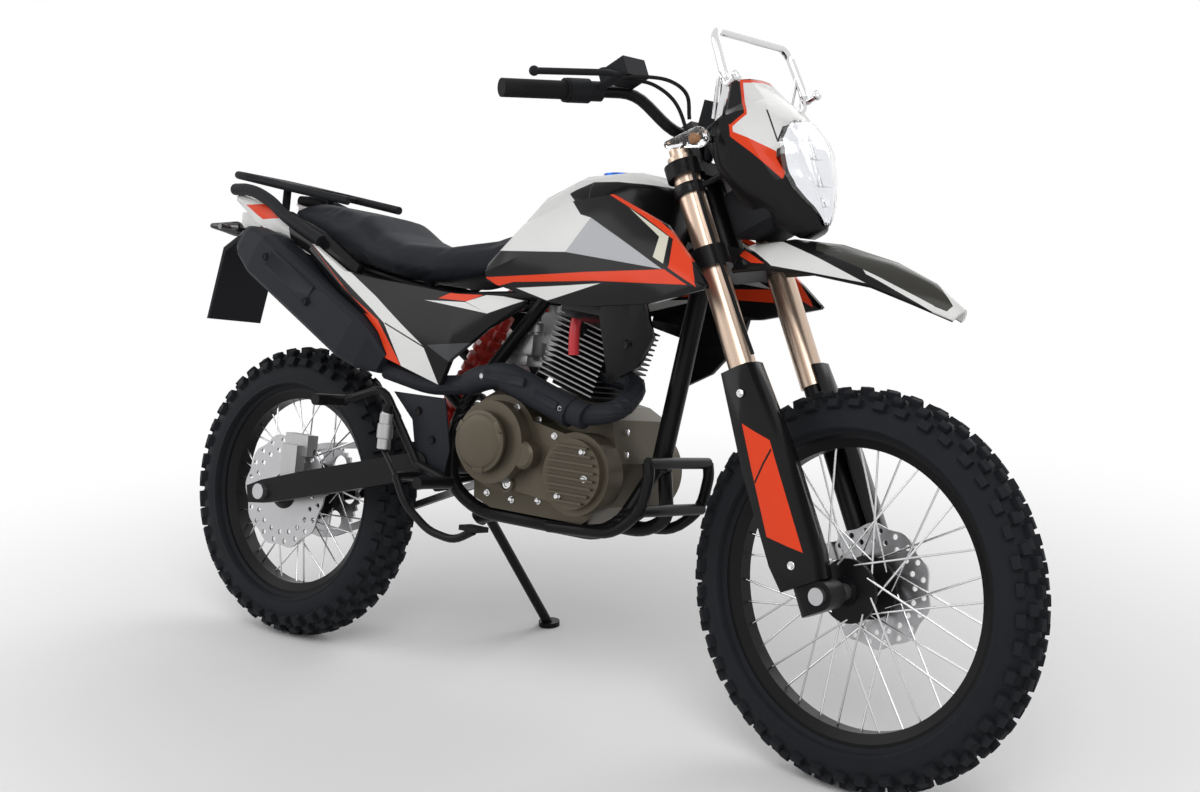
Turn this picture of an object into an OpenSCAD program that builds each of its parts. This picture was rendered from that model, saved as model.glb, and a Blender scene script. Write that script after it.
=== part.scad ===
/* [Stance] */
// Distance between the two axles
wheelbase = 1400; // [1350:5:1450]
// Lean to the left on the side stand, in degrees
lean = 12; // [10:0.5:14]
// Steering head angle from upright, in degrees
rake = 26; // [25:0.5:28]
// Steering at rest in degrees, negative turns to the right
steer_rest = -7; // [-15:1:15]
// Front axle ahead of the fork legs
axle_lead = 31; // [24:1:38]
// Fork legs ahead of the steering axis
clamp_offset = 30; // [26:1:36]

/* [Front wheel] */
// Radius of the front tyre over its lugs
front_tyre_r = 351; // [340:1:360]
// Width of the front tyre
front_tyre_w = 90; // [80:1:100]
// Radius of the front tyre's crown across the tread
front_crown_r = 46; // [42:1:52]
// Bead seat radius of the front rim
front_bead_r = 267; // [260:1:272]
// Width over the front rim
front_rim_w = 46; // [40:1:54]
// Radius of the front hub's flanges
front_flange_r = 56; // [50:1:62]
// Distance between the front hub's flanges
front_hub_w = 72; // [64:1:80]
// Radius of the front brake disc
front_disc_r = 112; // [105:1:125]
// Radius of the front axle
front_axle_r = 8.5; // [7.5:0.5:10]

/* [Rear wheel] */
// Radius of the rear tyre over its lugs
rear_tyre_r = 326; // [316:1:334]
// Width of the rear tyre
rear_tyre_w = 114; // [104:1:120]
// Radius of the rear tyre's crown across the tread
rear_crown_r = 60; // [55:1:66]
// Bead seat radius of the rear rim
rear_bead_r = 229; // [222:1:235]
// Width over the rear rim
rear_rim_w = 60; // [54:1:66]
// Radius of the rear hub's flanges
rear_flange_r = 66; // [60:1:72]
// Distance between the rear hub's flanges
rear_hub_w = 84; // [78:1:92]
// Radius of the rear brake disc
rear_disc_r = 128; // [115:1:135]
// Radius of the rear axle
rear_axle_r = 9; // [8:0.5:10]
// Radius of the rear sprocket over its teeth
sprocket_r = 108; // [98:1:115]

/* [Wheel details] */
// Spokes in each wheel
spoke_count = 36; // [32:4:40]
// Radius of one spoke
spoke_r = 1.9; // [1.5:0.1:2.2]
// Wall of the rims
rim_wall = 4; // [3:0.5:6]
// Depth of the rim's well under the bead seat
rim_well = 17; // [13:1:20]
// Height of the rim's lip over the bead seat
rim_lip = 12; // [9:1:14]
// Thickness of the hub flanges
flange_t = 7; // [5:0.5:9]
// Thickness of the brake discs
disc_t = 4; // [3:0.5:5]
// Thickness of the rear sprocket
sprocket_t = 6; // [5:0.5:7]

/* [Fork] */
// Fork legs from the middle, each side
fork_y = 100; // [96:1:106]
// Top of the fork legs above the axle, along the steering axis
fork_top = 845; // [815:5:875]
// Radius of the upper fork tubes
upper_tube_r = 25; // [23:0.5:27]
// Radius of the lower fork tubes
lower_tube_r = 20.5; // [18:0.5:22]
// Lower end of the upper fork tubes, along the steering axis
upper_tube_start = 385; // [360:5:410]
// Lower face of the lower fork clamp, along the steering axis
lower_clamp_s = 608; // [595:1:620]
// Thickness of the lower fork clamp
lower_clamp_t = 38; // [32:1:44]
// Lower face of the upper fork clamp, along the steering axis
upper_clamp_s = 788; // [775:1:800]
// Thickness of the upper fork clamp
upper_clamp_t = 28; // [22:1:34]
// Radius of the steering stem
stem_r = 14; // [12:0.5:16]
// Length of the fork guards
guard_l = 395; // [370:5:415]
// Depth of the fork guards, front to back
guard_d = 92; // [84:1:100]
// Width of the fork guards
guard_w = 72; // [64:1:78]

/* [Handlebar] */
// Half the width over the grips
bar_half = 412; // [380:2:440]
// Radius of the handlebar
bar_r = 11; // [10.5:0.25:12]
// Centre of the handlebar above the upper clamp's top
bar_rise = 64; // [50:2:80]
// Bar ends above the middle of the handlebar
bar_end_rise = 93; // [70:2:110]
// Bar ends behind the middle of the handlebar
bar_sweep = 94; // [70:2:110]
// Length of one grip
grip_l = 122; // [110:2:132]
// Radius of the grips
grip_r = 16.5; // [15:0.5:19]
// Thread radius of the mirror holes
mirror_thread_r = 5; // [4:0.5:5]
// Depth of the mirror holes
mirror_depth = 15; // [10:1:18]

/* [Front body] */
// Height of the headlight mask along the steering axis
mask_h = 312; // [290:2:330]
// Width of the headlight mask
mask_w = 240; // [220:2:260]
// Nose of the mask ahead of the steering axis
mask_nose = 246; // [235:1:256]
// Lower edge of the mask along the steering axis
mask_s = 612; // [600:1:625]
// Length of the front fender, straight
fender_l = 440; // [410:5:460]
// Width of the front fender
fender_w = 178; // [165:1:190]
// Thickness of the front fender
fender_t = 5; // [4:0.5:7]
// Top of the accessory rack along the steering axis
rack_top = 1006; // [985:1:1020]
// Width of the accessory rack
rack_w = 244; // [230:2:260]
// Radius of the accessory rack's tube
rack_tube_r = 8; // [6:0.5:9]

/* [Frame] */
// Width over the middle of the frame's tubes
frame_w = 200; // [196:1:206]
// Height of the frame's backbone behind the tank
frame_h = 830; // [820:1:840]
// Radius of the backbone and down tube
main_tube_r = 19; // [17:0.5:21]
// Radius of the cradle and upright tubes
cradle_r = 14; // [12:0.5:15]
// Radius of the seat rails and stays
rail_r = 12; // [10:0.5:13]
// Radius of the steering head
head_r = 31; // [28:0.5:34]
// Swingarm pivot ahead of the rear axle
pivot_x = 470; // [462:1:478]
// Height of the swingarm pivot
pivot_z = 450; // [444:1:456]
// Radius of the swingarm pivot bolt
pivot_bolt_r = 9; // [8:0.5:10]

/* [Swingarm] */
// Middle of each swingarm arm from the bike's middle
arm_y = 111; // [109:0.5:114]
// Width of each swingarm arm
arm_w = 26; // [22:1:28]
// Height of each swingarm arm
arm_h = 56; // [48:1:60]
// Radius of the rear shock's spring
spring_r = 31; // [27:1:34]

/* [Engine] */
// Length of the crankcase
case_l = 352; // [345:1:356]
// Width of the crankcase
case_w = 190; // [180:2:200]
// Height of the crankcase
case_h = 250; // [240:2:258]
// Rear end of the crankcase ahead of the rear axle
case_x = 574; // [566:1:580]
// Radius of the clutch cover's dome
clutch_r = 80; // [72:1:86]
// How far the clutch cover stands out from the crankcase
cover_w = 78; // [70:1:84]
// Length of the cylinder's fins, front to back
fin_l = 138; // [130:1:146]
// Width of the cylinder's fins
fin_w = 156; // [146:1:160]
// Fins on the cylinder and its head
fin_count = 14; // [12:1:15]
// Spacing of the fins
fin_pitch = 10.5; // [9.5:0.5:11]
// Thickness of one fin
fin_t = 3; // [2.5:0.25:4]
// Radius of the cylinder inside its fins
barrel_r = 50; // [44:1:56]
// Forward lean of the cylinder in degrees
barrel_tilt = 16; // [12:1:18]
// Radius of the exhaust header
header_r = 20; // [18:0.5:22]
// Length of the silencer
silencer_l = 488; // [476:2:500]
// Height of the silencer
silencer_h = 106; // [98:1:112]
// Width of the silencer
silencer_w = 92; // [84:1:100]

/* [Guard] */
// Radius of the engine guard's tubes
guard_tube_r = 11; // [9:0.5:12]
// Height of the engine guard's hoops
guard_h = 150; // [140:1:158]

/* [Tank and panels] */
// Length of the tank
tank_l = 326; // [318:1:330]
// Width of the tank
tank_w = 272; // [260:2:276]
// Height of the tank
tank_h = 196; // [186:1:206]
// Rear end of the tank ahead of the rear axle
tank_x = 612; // [608:1:618]
// Length of the tank shrouds
shroud_l = 540; // [525:1:550]
// Height of the tank shrouds
shroud_h = 222; // [212:1:230]
// Width over the tank shrouds at their front
shroud_w = 430; // [420:2:440]
// Wall of the shrouds and side panels
panel_t = 12; // [8:0.5:14]
// Length of the seat
seat_l = 650; // [640:1:656]
// Width of the seat
seat_w = 268; // [250:2:276]
// Height of the seat
seat_h = 168; // [160:1:176]
// Length of the side panels
side_l = 580; // [565:1:590]
// Height of the side panels
side_h = 262; // [250:1:270]
// Width over the side panels
side_w = 332; // [328:1:338]

/* [Tail] */
// Length of the tail fairing
tail_l = 448; // [430:2:460]
// Height of the tail fairing
tail_h = 172; // [160:1:180]
// Width over the tail fairing
tail_w = 292; // [286:1:298]
// Length of the rear rack
carrier_l = 385; // [370:1:395]
// Width of the rear rack
carrier_w = 200; // [190:1:210]
// Radius of the rear rack's tubes
carrier_r = 9; // [7:0.5:10]
// Circle of the four rack bolt holes
rack_bolt_circle = 120; // [100:2:130]
// Radius of the rack bolt holes
rack_bolt_r = 4.25; // [3.25:0.25:5]
// Width of the rear mudguard
mudguard_w = 156; // [146:2:166]
// Drop of the rear mudguard's flap
flap_h = 215; // [200:1:225]

/* [Stand] */
// Length of the side stand's leg
stand_l = 345; // [340:1:350]
// Radius of the side stand's leg
stand_r = 11; // [10:0.5:13]
// Radius of the side stand's foot
stand_foot_r = 24; // [20:1:28]
// Radius of the side stand's pivot pin
stand_pin_r = 8; // [7:0.5:9]

/* [Hidden] */
$fn = 48;
// Running clearance of a shaft in its bore, on the radius
bore_gap = 0.06;
// Clearance between pieces that seat on each other
seat_gap = 0.3;
// Overrun of cuts past the faces that they cut
cut = 1;
black = [0.05, 0.05, 0.055];
dark = [0.1, 0.1, 0.1];
white = [0.93, 0.93, 0.93];
steel = [0.75, 0.76, 0.78];
bronze = [0.52, 0.45, 0.35];
case_grey = [0.36, 0.33, 0.28];

// Unit vector along v
function unit(v) = v / norm(v);
// Point a share t of the way from a to b
function between(a, b, t) = a + (b - a) * t;
// Point mirrored to the other side of the bike for side -1
function flip(p, side) = [p[0], p[1] * side, p[2]];
// Points with rounded corners, each cut back by d where its two stretches are long enough
bend_step_share = 0.25;
bend_limit_share = 0.45;
function rounded(path, d) = concat(
  [path[0]],
  [for (i = [1 : len(path) - 2]) each
    let (before = path[i - 1] - path[i], after = path[i + 1] - path[i],
      back = min(d, norm(before) * bend_limit_share, norm(after) * bend_limit_share),
      a = path[i] + unit(before) * back, b = path[i] + unit(after) * back)
    [for (t = [0 : bend_step_share : 1])
      between(between(a, path[i], t), between(path[i], b, t), t)]],
  [path[len(path) - 1]]);
// Ring of n points with half sizes w and h, squarer as power grows, in a plane
function soft_ring(w, h, power, n) = [for (i = [0 : n - 1])
  let (a = 360 * (i + 0.5) / n)
  [w * sign(cos(a)) * pow(abs(cos(a)), 2 / power), h * sign(sin(a)) * pow(abs(sin(a)), 2 / power)]];

// Round rod from a to b
module rod(a, b, r) {
  d = b - a;
  translate(a) rotate([0, acos(d[2] / norm(d)), atan2(d[1], d[0])]) cylinder(h = norm(d), r = r);
}
// Solid through a list of rings that all have the same number of points
module loft(rings) {
  n = len(rings[0]);
  last = len(rings) - 1;
  sides = [for (k = [0 : last - 1]) for (i = [0 : n - 1]) each
    let (j = (i + 1) % n)
    [[k * n + i, (k + 1) * n + j, k * n + j], [k * n + i, (k + 1) * n + i, (k + 1) * n + j]]];
  ends = [[for (i = [0 : n - 1]) i], [for (i = [n - 1 : -1 : 0]) last * n + i]];
  polyhedron([for (r = rings) each r], concat(sides, ends), convexity = 6);
}
// Direction that no pipe follows, from which its rings are turned
sweep_side = [0.31, 0.2, 0.93];
// Smooth pipe swept along a path with n sides
module sweep(path, r, n) {
  last = len(path) - 1;
  loft([for (k = [0 : last])
    let (t = unit(path[min(k + 1, last)] - path[max(k - 1, 0)]),
      u = unit(cross(t, sweep_side)), v = cross(t, u))
    [for (i = [0 : n - 1]) path[k] + (u * cos(360 * i / n) + v * sin(360 * i / n)) * r]]);
}

// Bent round tube through points
tube_sides = 14;
bend_share = 3;
module tube(points, r) sweep(rounded(points, r * bend_share), r, tube_sides);

// Wheel heights, so that the leaning tyres touch the ground
axle_off = clamp_offset + axle_lead;
rear_z = rear_tyre_r - rear_crown_r + rear_crown_r / cos(lean);
wheel_tip = -cos(steer_rest) * sin(lean) - sin(steer_rest) * sin(rake) * cos(lean);
front_height = (front_tyre_r - front_crown_r) * sqrt(1 - wheel_tip * wheel_tip) + front_crown_r;
front_z = (front_height + axle_off * sin(steer_rest) * sin(lean)) / cos(lean);
steer_foot = [wheelbase - axle_off * cos(rake), 0, front_z - axle_off * cos(steer_rest) * sin(rake)];
// Point on the steering axis at height s along it, seen from the frame
function on_axis(s) = steer_foot + [-sin(rake), 0, cos(rake)] * s;

// The origin is on the ground below the middle of the leaning bike
mid_x = (wheelbase + front_tyre_r - rear_tyre_r) / 2;
module placed() translate([-mid_x, -mid_y, 0]) rotate([-lean, 0, 0]) children();
module at_head() translate(steer_foot) rotate([0, -rake, 0]) children();
module steered() placed() at_head() rotate([0, 0, steer_rest]) children();
module front_wheel_frame() steered() translate([axle_off, 0, 0]) rotate([90, 0, 0]) children();
module rear_wheel_frame() placed() translate([0, 0, rear_z]) rotate([90, 0, 0]) children();
module both_sides() {
  children();
  mirror([0, 1, 0]) children();
}
// Flat outline of x and z extruded across the bike from y0 to y1
module across(outline, y0, y1) translate([0, y1, 0]) rotate([90, 0, 0])
  linear_extrude(y1 - y0) polygon(outline);

// Wheels
sidewall_share = 0.45;
well_share = 0.45;
lug_count = 28;
lug_h = 11;
// Share of a pitch at which each column of a lug stands, and 0 where it is down in the groove
lug_columns = [[0, 1], [0.55, 1], [0.775, 0]];
// Angle across the crown of each line of the tread, and its shift as a share of a pitch
tread_lines = [[-66, 0], [-38, 0], [-30, 0.5], [-12, 0.5], [12, 0.5], [30, 0.5], [38, 0], [66, 0]];
module tyre(r, crown_r, w, bead_r, rim_w) {
  waist = between(bead_r, r, sidewall_share);
  seat = rim_w / 2 - rim_wall - seat_gap;
  ease = 1 / cos(180 * lug_columns[1][0] / lug_count);
  side = [[bead_r * ease + seat_gap, seat], [(bead_r + rim_lip) * ease + seat_gap, seat], [waist, w / 2]];
  lines = len(tread_lines) + 2 * len(side);
  columns = lug_count * len(lug_columns);
  points = [for (i = [0 : lug_count - 1]) for (c = lug_columns)
    let (flanks = [for (p = side) [p[0], -p[1], 0]],
      tread = [for (t = tread_lines) let (reach = crown_r - (1 - c[1]) * lug_h)
        [r - crown_r + reach * cos(t[0]), reach * sin(t[0]), t[1]]],
      back = [for (k = [len(side) - 1 : -1 : 0]) [side[k][0], side[k][1], 0]])
    for (p = concat(flanks, tread, back)) let (a = 360 * (i + c[0] + p[2]) / lug_count)
      [p[0] * cos(a), p[0] * sin(a), p[1]]];
  faces = [for (c = [0 : columns - 1]) for (k = [0 : lines - 1])
    let (d = (c + 1) % columns, j = (k + 1) % lines)
    for (f = [[c * lines + k, c * lines + j, d * lines + j],
      [c * lines + k, d * lines + j, d * lines + k]]) f];
  polyhedron(points, faces);
}
module rim(bead_r, w) {
  half = w / 2;
  seat = half - rim_wall;
  well = half * well_share;
  rotate_extrude() polygon([
    [bead_r + rim_lip, half], [bead_r + rim_lip, seat], [bead_r, seat],
    [bead_r - rim_well, well], [bead_r - rim_well, -well],
    [bead_r, -seat], [bead_r + rim_lip, -seat], [bead_r + rim_lip, -half],
    [bead_r - rim_wall, -half], [bead_r - rim_well - rim_wall, -well - rim_wall],
    [bead_r - rim_well - rim_wall, well + rim_wall], [bead_r - rim_wall, half]]);
}
barrel_share = 0.45;
seat_share = 0.6;
shoulder_share = 0.82;
disc_step = 14;
sprocket_step = 27;
hub_lip = 10;
// Hub with two spoke flanges and a seat for a disc or sprocket at its positive end
module hub(flange_r, w, axle_r, step) {
  in = w / 2 - flange_t;
  out = w / 2;
  hub_end = step + hub_lip;
  rotate_extrude() polygon([
    [axle_r + bore_gap, -out - hub_lip], [axle_r + bore_gap, out + hub_end],
    [flange_r * barrel_share, out + hub_end], [flange_r * seat_share, out + hub_end - hub_lip / 2],
    [flange_r * seat_share, out + step], [flange_r * shoulder_share, out + step],
    [flange_r * shoulder_share, out], [flange_r, out], [flange_r, in],
    [flange_r * barrel_share, in - flange_t], [flange_r * barrel_share, -in + flange_t],
    [flange_r, -in], [flange_r, -out], [flange_r * barrel_share, -out - hub_lip / 2],
    [flange_r * barrel_share, -out - hub_lip]]);
}
spoke_lead = 52;
spoke_row_share = 0.86;
rim_row_share = 0.2;
// Spokes laced from both flanges, turned alternately forwards and backwards
module spokes(flange_r, w, bead_r, rim_w) {
  for (i = [0 : spoke_count - 1]) {
    side = i % 2 == 0 ? 1 : -1;
    turn = floor(i / 2) % 2 == 0 ? 1 : -1;
    at_rim = 360 * i / spoke_count;
    at_hub = at_rim + turn * spoke_lead;
    hub_y = side * (w / 2 - flange_t / 2 + turn * (flange_t / 2 + spoke_r));
    a = [flange_r * spoke_row_share * cos(at_hub), flange_r * spoke_row_share * sin(at_hub), hub_y];
    rim_in = bead_r - rim_well - rim_wall / 2;
    rod(a, [rim_in * cos(at_rim), rim_in * sin(at_rim), side * rim_w * rim_row_share / 2], spoke_r);
  }
}
wave_count = 10;
wave_share = 0.03;
wave_points = 80;
disc_hole_share = 0.045;
disc_ring_shares = [0.72, 0.88];
disc_hole_count = 20;
// Wavy brake disc with two rings of holes, bored for its seat on the hub
module disc(r, bore_r) {
  outline = [for (i = [0 : wave_points - 1])
    let (a = 360 * i / wave_points, d = r * (1 - wave_share + wave_share * cos(a * wave_count)))
    [d * cos(a), d * sin(a)]];
  linear_extrude(disc_t) difference() {
    polygon(outline);
    circle(bore_r);
    for (ring = [0 : len(disc_ring_shares) - 1]) for (i = [0 : disc_hole_count - 1])
      rotate(360 * (i + ring / 2) / disc_hole_count)
        translate([r * disc_ring_shares[ring], 0]) circle(r * disc_hole_share);
  }
}
module front_tyre() color(dark) front_wheel_frame()
  tyre(front_tyre_r, front_crown_r, front_tyre_w, front_bead_r, front_rim_w);
module front_rim() color(black) front_wheel_frame() rim(front_bead_r, front_rim_w);
module front_hub() color(black) front_wheel_frame() rotate([180, 0, 0])
  hub(front_flange_r, front_hub_w, front_axle_r, disc_step);
module front_spokes() color(steel) front_wheel_frame() spokes(front_flange_r, front_hub_w,
  front_bead_r, front_rim_w);
module front_disc() color(steel) front_wheel_frame() rotate([180, 0, 0])
  translate([0, 0, front_hub_w / 2 + disc_step]) disc(front_disc_r,
    front_flange_r * seat_share + bore_gap);
module rear_tyre() color(dark) rear_wheel_frame()
  tyre(rear_tyre_r, rear_crown_r, rear_tyre_w, rear_bead_r, rear_rim_w);
module rear_rim() color(black) rear_wheel_frame() rim(rear_bead_r, rear_rim_w);
module rear_hub() color(black) rear_wheel_frame() {
  hub(rear_flange_r, rear_hub_w, rear_axle_r, disc_step);
  rotate([180, 0, 0]) hub(rear_flange_r, rear_hub_w, rear_axle_r, sprocket_step);
}
module rear_spokes() color(steel) rear_wheel_frame() spokes(rear_flange_r, rear_hub_w, rear_bead_r,
  rear_rim_w);
module rear_disc() color(steel) rear_wheel_frame()
  translate([0, 0, rear_hub_w / 2 + disc_step]) disc(rear_disc_r,
    rear_flange_r * seat_share + bore_gap);
tooth_count = 42;
tooth_share = 0.07;
sprocket_window_share = 0.2;
sprocket_window_ring_share = 0.68;
sprocket_window_count = 6;
// Rear sprocket with its teeth and lightening holes
module rear_sprocket() color(dark) rear_wheel_frame() rotate([180, 0, 0])
  translate([0, 0, rear_hub_w / 2 + sprocket_step]) linear_extrude(sprocket_t) difference() {
    polygon([for (i = [0 : 2 * tooth_count - 1])
      let (a = 180 * i / tooth_count, d = sprocket_r * (i % 2 == 0 ? 1 : 1 - tooth_share))
      [d * cos(a), d * sin(a)]]);
    circle(rear_flange_r * seat_share + bore_gap);
    for (i = [0 : sprocket_window_count - 1]) rotate(360 * i / sprocket_window_count)
      translate([sprocket_r * sprocket_window_ring_share,
        0]) circle(sprocket_r * sprocket_window_share);
  }

// Fork and steering
knuckle_w = 44;
knuckle_r = 25;
knuckle_l = 92;
axle_head_r = 15;
axle_head_t = 10;
module front_axle() color(steel) steered() translate([axle_off, 0, 0]) {
  reach = fork_y + knuckle_w / 2 + axle_head_t;
  rod([0, -reach, 0], [0, reach, 0], front_axle_r);
  for (side = [-1, 1]) {
    rod([0, side * (fork_y + knuckle_w / 2 + seat_gap), 0], [0, side * reach, 0], axle_head_r);
    rod([0, side * (front_hub_w / 2 + hub_lip + (side > 0 ? disc_step : 0) + seat_gap), 0],
      [0, side * (fork_y - knuckle_w / 2 - seat_gap), 0], axle_head_r);
  }
}
module fork_lowers() color(black) steered() both_sides() translate([clamp_offset, fork_y,
  0]) difference() {
  union() {
    translate([0, 0, -knuckle_r]) cylinder(h = knuckle_l, r = knuckle_r);
    translate([axle_lead, -knuckle_w / 2, 0]) rotate([-90, 0, 0])
      cylinder(h = knuckle_w, r = knuckle_r);
    translate([0, -knuckle_w / 2, -knuckle_r]) cube([axle_lead, knuckle_w, 2 * knuckle_r]);
    cylinder(h = upper_tube_start + knuckle_l, r = lower_tube_r);
  }
  translate([axle_lead, -knuckle_w, 0]) rotate([-90, 0, 0])
    cylinder(h = 2 * knuckle_w, r = front_axle_r + bore_gap);
}
cap_h = 16;
cap_share = 0.72;
module fork_tubes() color(bronze) steered() both_sides() translate([clamp_offset, fork_y, 0]) {
  difference() {
    translate([0, 0, upper_tube_start]) cylinder(h = fork_top - upper_tube_start - cap_h,
      r = upper_tube_r);
    translate([0, 0, upper_tube_start - cut])
      cylinder(h = knuckle_l + seat_gap + cut, r = lower_tube_r + seat_gap);
  }
  translate([0, 0, fork_top - cap_h]) cylinder(h = cap_h, r = upper_tube_r * cap_share);
}
clamp_wall = 10;
clamp_nose = clamp_offset + head_r * 0.6;
// One fork clamp plate, bored for both legs
module clamp_plate(t) difference() {
  linear_extrude(t) union() {
    for (side = [-1, 1]) translate([clamp_offset, side * fork_y]) circle(upper_tube_r + clamp_wall);
    circle(head_r);
    polygon([[-head_r * 0.7, -head_r], [clamp_offset - upper_tube_r, -fork_y],
      [clamp_offset + upper_tube_r, -fork_y],
      [clamp_nose, 0], [clamp_offset + upper_tube_r, fork_y],
        [clamp_offset - upper_tube_r, fork_y],
      [-head_r * 0.7, head_r]]);
  }
  for (side = [-1, 1]) translate([clamp_offset, side * fork_y, -cut])
    cylinder(h = t + 2 * cut, r = upper_tube_r + seat_gap);
}
riser_y = 46;
riser_l = 34;
riser_w = 26;
bar_u = clamp_offset;
bar_s = upper_clamp_s + upper_clamp_t + bar_rise;
module fork_clamps() color(black) steered() {
  translate([0, 0, lower_clamp_s]) clamp_plate(lower_clamp_t);
  translate([0, 0, upper_clamp_s]) clamp_plate(upper_clamp_t);
  translate([0, 0, lower_clamp_s]) cylinder(h = upper_clamp_s - lower_clamp_s + upper_clamp_t,
    r = stem_r);
  difference() {
    both_sides() translate([bar_u - riser_l / 2, riser_y - riser_w / 2,
      upper_clamp_s + upper_clamp_t - cut])
      cube([riser_l, riser_w, bar_rise + bar_r + clamp_wall + cut]);
    rod([bar_u, -fork_y, bar_s], [bar_u, fork_y, bar_s], bar_r + seat_gap);
  }
}
bar_flat_share = 0.24;
bar_bend_share = 0.4;
bar_bend_rise_share = 0.82;
bar_bend_sweep_share = 0.1;
// Middle, bend and end points of the right or left half of the handlebar
bar_mid = [bar_u, 0, bar_s];
bar_flat = [bar_u, bar_half * bar_flat_share, bar_s];
bar_bend = [bar_u - bar_sweep * bar_bend_sweep_share, bar_half * bar_bend_share,
  bar_s + bar_end_rise * bar_bend_rise_share];
bar_end = [bar_u - bar_sweep, bar_half, bar_s + bar_end_rise];
mid_y = (on_axis(bar_end[2])[2] + bar_end[0] * sin(rake)) * sin(lean);
// Point on the outer half of the bar at a distance d in from its end
function on_bar(d) = bar_end + unit(bar_bend - bar_end) * d;
module handlebar() color(black) steered()
  tube([flip(bar_end, -1), flip(bar_bend, -1), flip(bar_flat, -1), bar_flat, bar_bend, bar_end], bar_r);
grip_flange_t = 5;
grip_flange_share = 1.3;
module grips() color(dark) steered() both_sides() difference() {
  union() {
    rod(on_bar(-grip_flange_t), on_bar(grip_l), grip_r);
    rod(on_bar(grip_l - grip_flange_t), on_bar(grip_l), grip_r * grip_flange_share);
  }
  rod(bar_bend, bar_end + unit(bar_end - bar_bend) * seat_gap, bar_r + seat_gap);
}
switch_l = 42;
switch_r = 22;
perch_l = 26;
perch_r = 18;
reservoir_l = 58;
reservoir_w = 44;
reservoir_h = 36;
lever_r = 6;
lever_out = 62;
lever_l = 165;
boss_r = 9;
// Switch box, lever perch, lever and mirror boss on each side, reservoir on the right
module controls() color(black) steered() {
  both_sides() difference() {
    union() {
      rod(on_bar(grip_l + seat_gap), on_bar(grip_l + switch_l), switch_r);
      rod(on_bar(grip_l + switch_l), on_bar(grip_l + switch_l + perch_l), perch_r);
      perch = on_bar(grip_l + switch_l + perch_l / 2);
      tip = perch + [lever_out, 0, 0];
      rod(perch, tip, boss_r);
      tube([tip, tip + [0, perch_l, 0],
        on_bar(grip_l + switch_l + perch_l / 2 - lever_l) + [lever_out, 0, 0]], lever_r);
      translate(on_bar(grip_l + switch_l + perch_l / 2 - lever_l) + [lever_out, 0,
        0]) sphere(boss_r);
      translate(perch + [lever_out / 2, 0, 0]) cylinder(h = perch_r + boss_r, r = boss_r);
    }
    rod(bar_bend, bar_end, bar_r + seat_gap);
    translate(on_bar(grip_l + switch_l + perch_l / 2) + [lever_out / 2, 0,
      perch_r + boss_r - mirror_depth])
      cylinder(h = mirror_depth + cut, r = mirror_thread_r);
  }
  translate(flip(on_bar(grip_l + switch_l + perch_l + reservoir_l / 2),
    -1) + [reservoir_w / 2 + perch_r, 0, perch_r])
    cube([reservoir_w, reservoir_l, reservoir_h], center = true);
  rod(flip(on_bar(grip_l + switch_l + perch_l / 2), -1) + [lever_out / 2, 0, 0],
    flip(on_bar(grip_l + switch_l + perch_l + reservoir_l / 2), -1) + [lever_out / 2, 0,
      perch_r], boss_r);
}
dash_l = 40;
dash_w = 128;
dash_h = 74;
dash_u = 84;
dash_tilt = 40;
dash_lean = 36;
module instruments() color(black) steered() difference() {
  union() {
    translate([dash_u, 0, bar_s]) rotate([0, dash_tilt, 0])
      cube([dash_l, dash_w, dash_h], center = true);
    both_sides() rod([dash_u - dash_lean, riser_y,
      upper_clamp_s + upper_clamp_t + seat_gap + boss_r * dash_lean / bar_rise],
      [dash_u, riser_y, bar_s], boss_r);
  }
  rod([bar_u, -fork_y, bar_s], [bar_u, fork_y, bar_s], bar_r + boss_r);
  both_sides() translate([bar_u - riser_l / 2 - seat_gap, riser_y - riser_w / 2 - seat_gap,
    upper_clamp_s])
    cube([riser_l + 2 * seat_gap, riser_w + 2 * seat_gap,
      bar_rise + bar_r + 2 * clamp_wall + upper_clamp_t]);
}

guard_t = 4;
guard_foot_r = 6;
// Share of the length, of the depth and of the width at each section
guard_section_shares = [[0, 0.86, 0.9], [0.12, 1, 1], [0.55, 0.96, 1], [0.9, 0.72, 0.9], [1, 0.66, 0.86]];
function guard_ring(row) = let (d = guard_d * row[1], w = guard_w * row[2],
  s = knuckle_r + seat_gap + guard_l * row[0],
  outer = [[d * 0.46, -w * 0.36], [d * 0.55, 0], [d * 0.46, w * 0.42], [d * 0.1, w / 2],
    [-d * 0.45, w / 2]],
  inner = [[-d * 0.45, w / 2 - guard_t], [d * 0.1, w / 2 - guard_t], [d * 0.46 - guard_t,
    w * 0.42 - guard_t],
    [d * 0.55 - guard_t, 0], [d * 0.46 - guard_t, -w * 0.36]])
  [for (p = concat(outer, inner)) [p[0], p[1], s]];
module fork_guards() color(black) steered() both_sides() translate([clamp_offset, fork_y, 0]) {
  loft([for (row = guard_section_shares) guard_ring(row)]);
  rod([0, knuckle_r + seat_gap, knuckle_r * 2], [0, guard_w / 2 - guard_t / 2, knuckle_r * 2],
    guard_foot_r);
}
caliper_l = 46;
caliper_h = 72;
caliper_in = 6;
caliper_out = 20;
pad_gap = 1.5;
caliper_back_share = 0.72;
caliper_up_share = 0.56;
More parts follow.
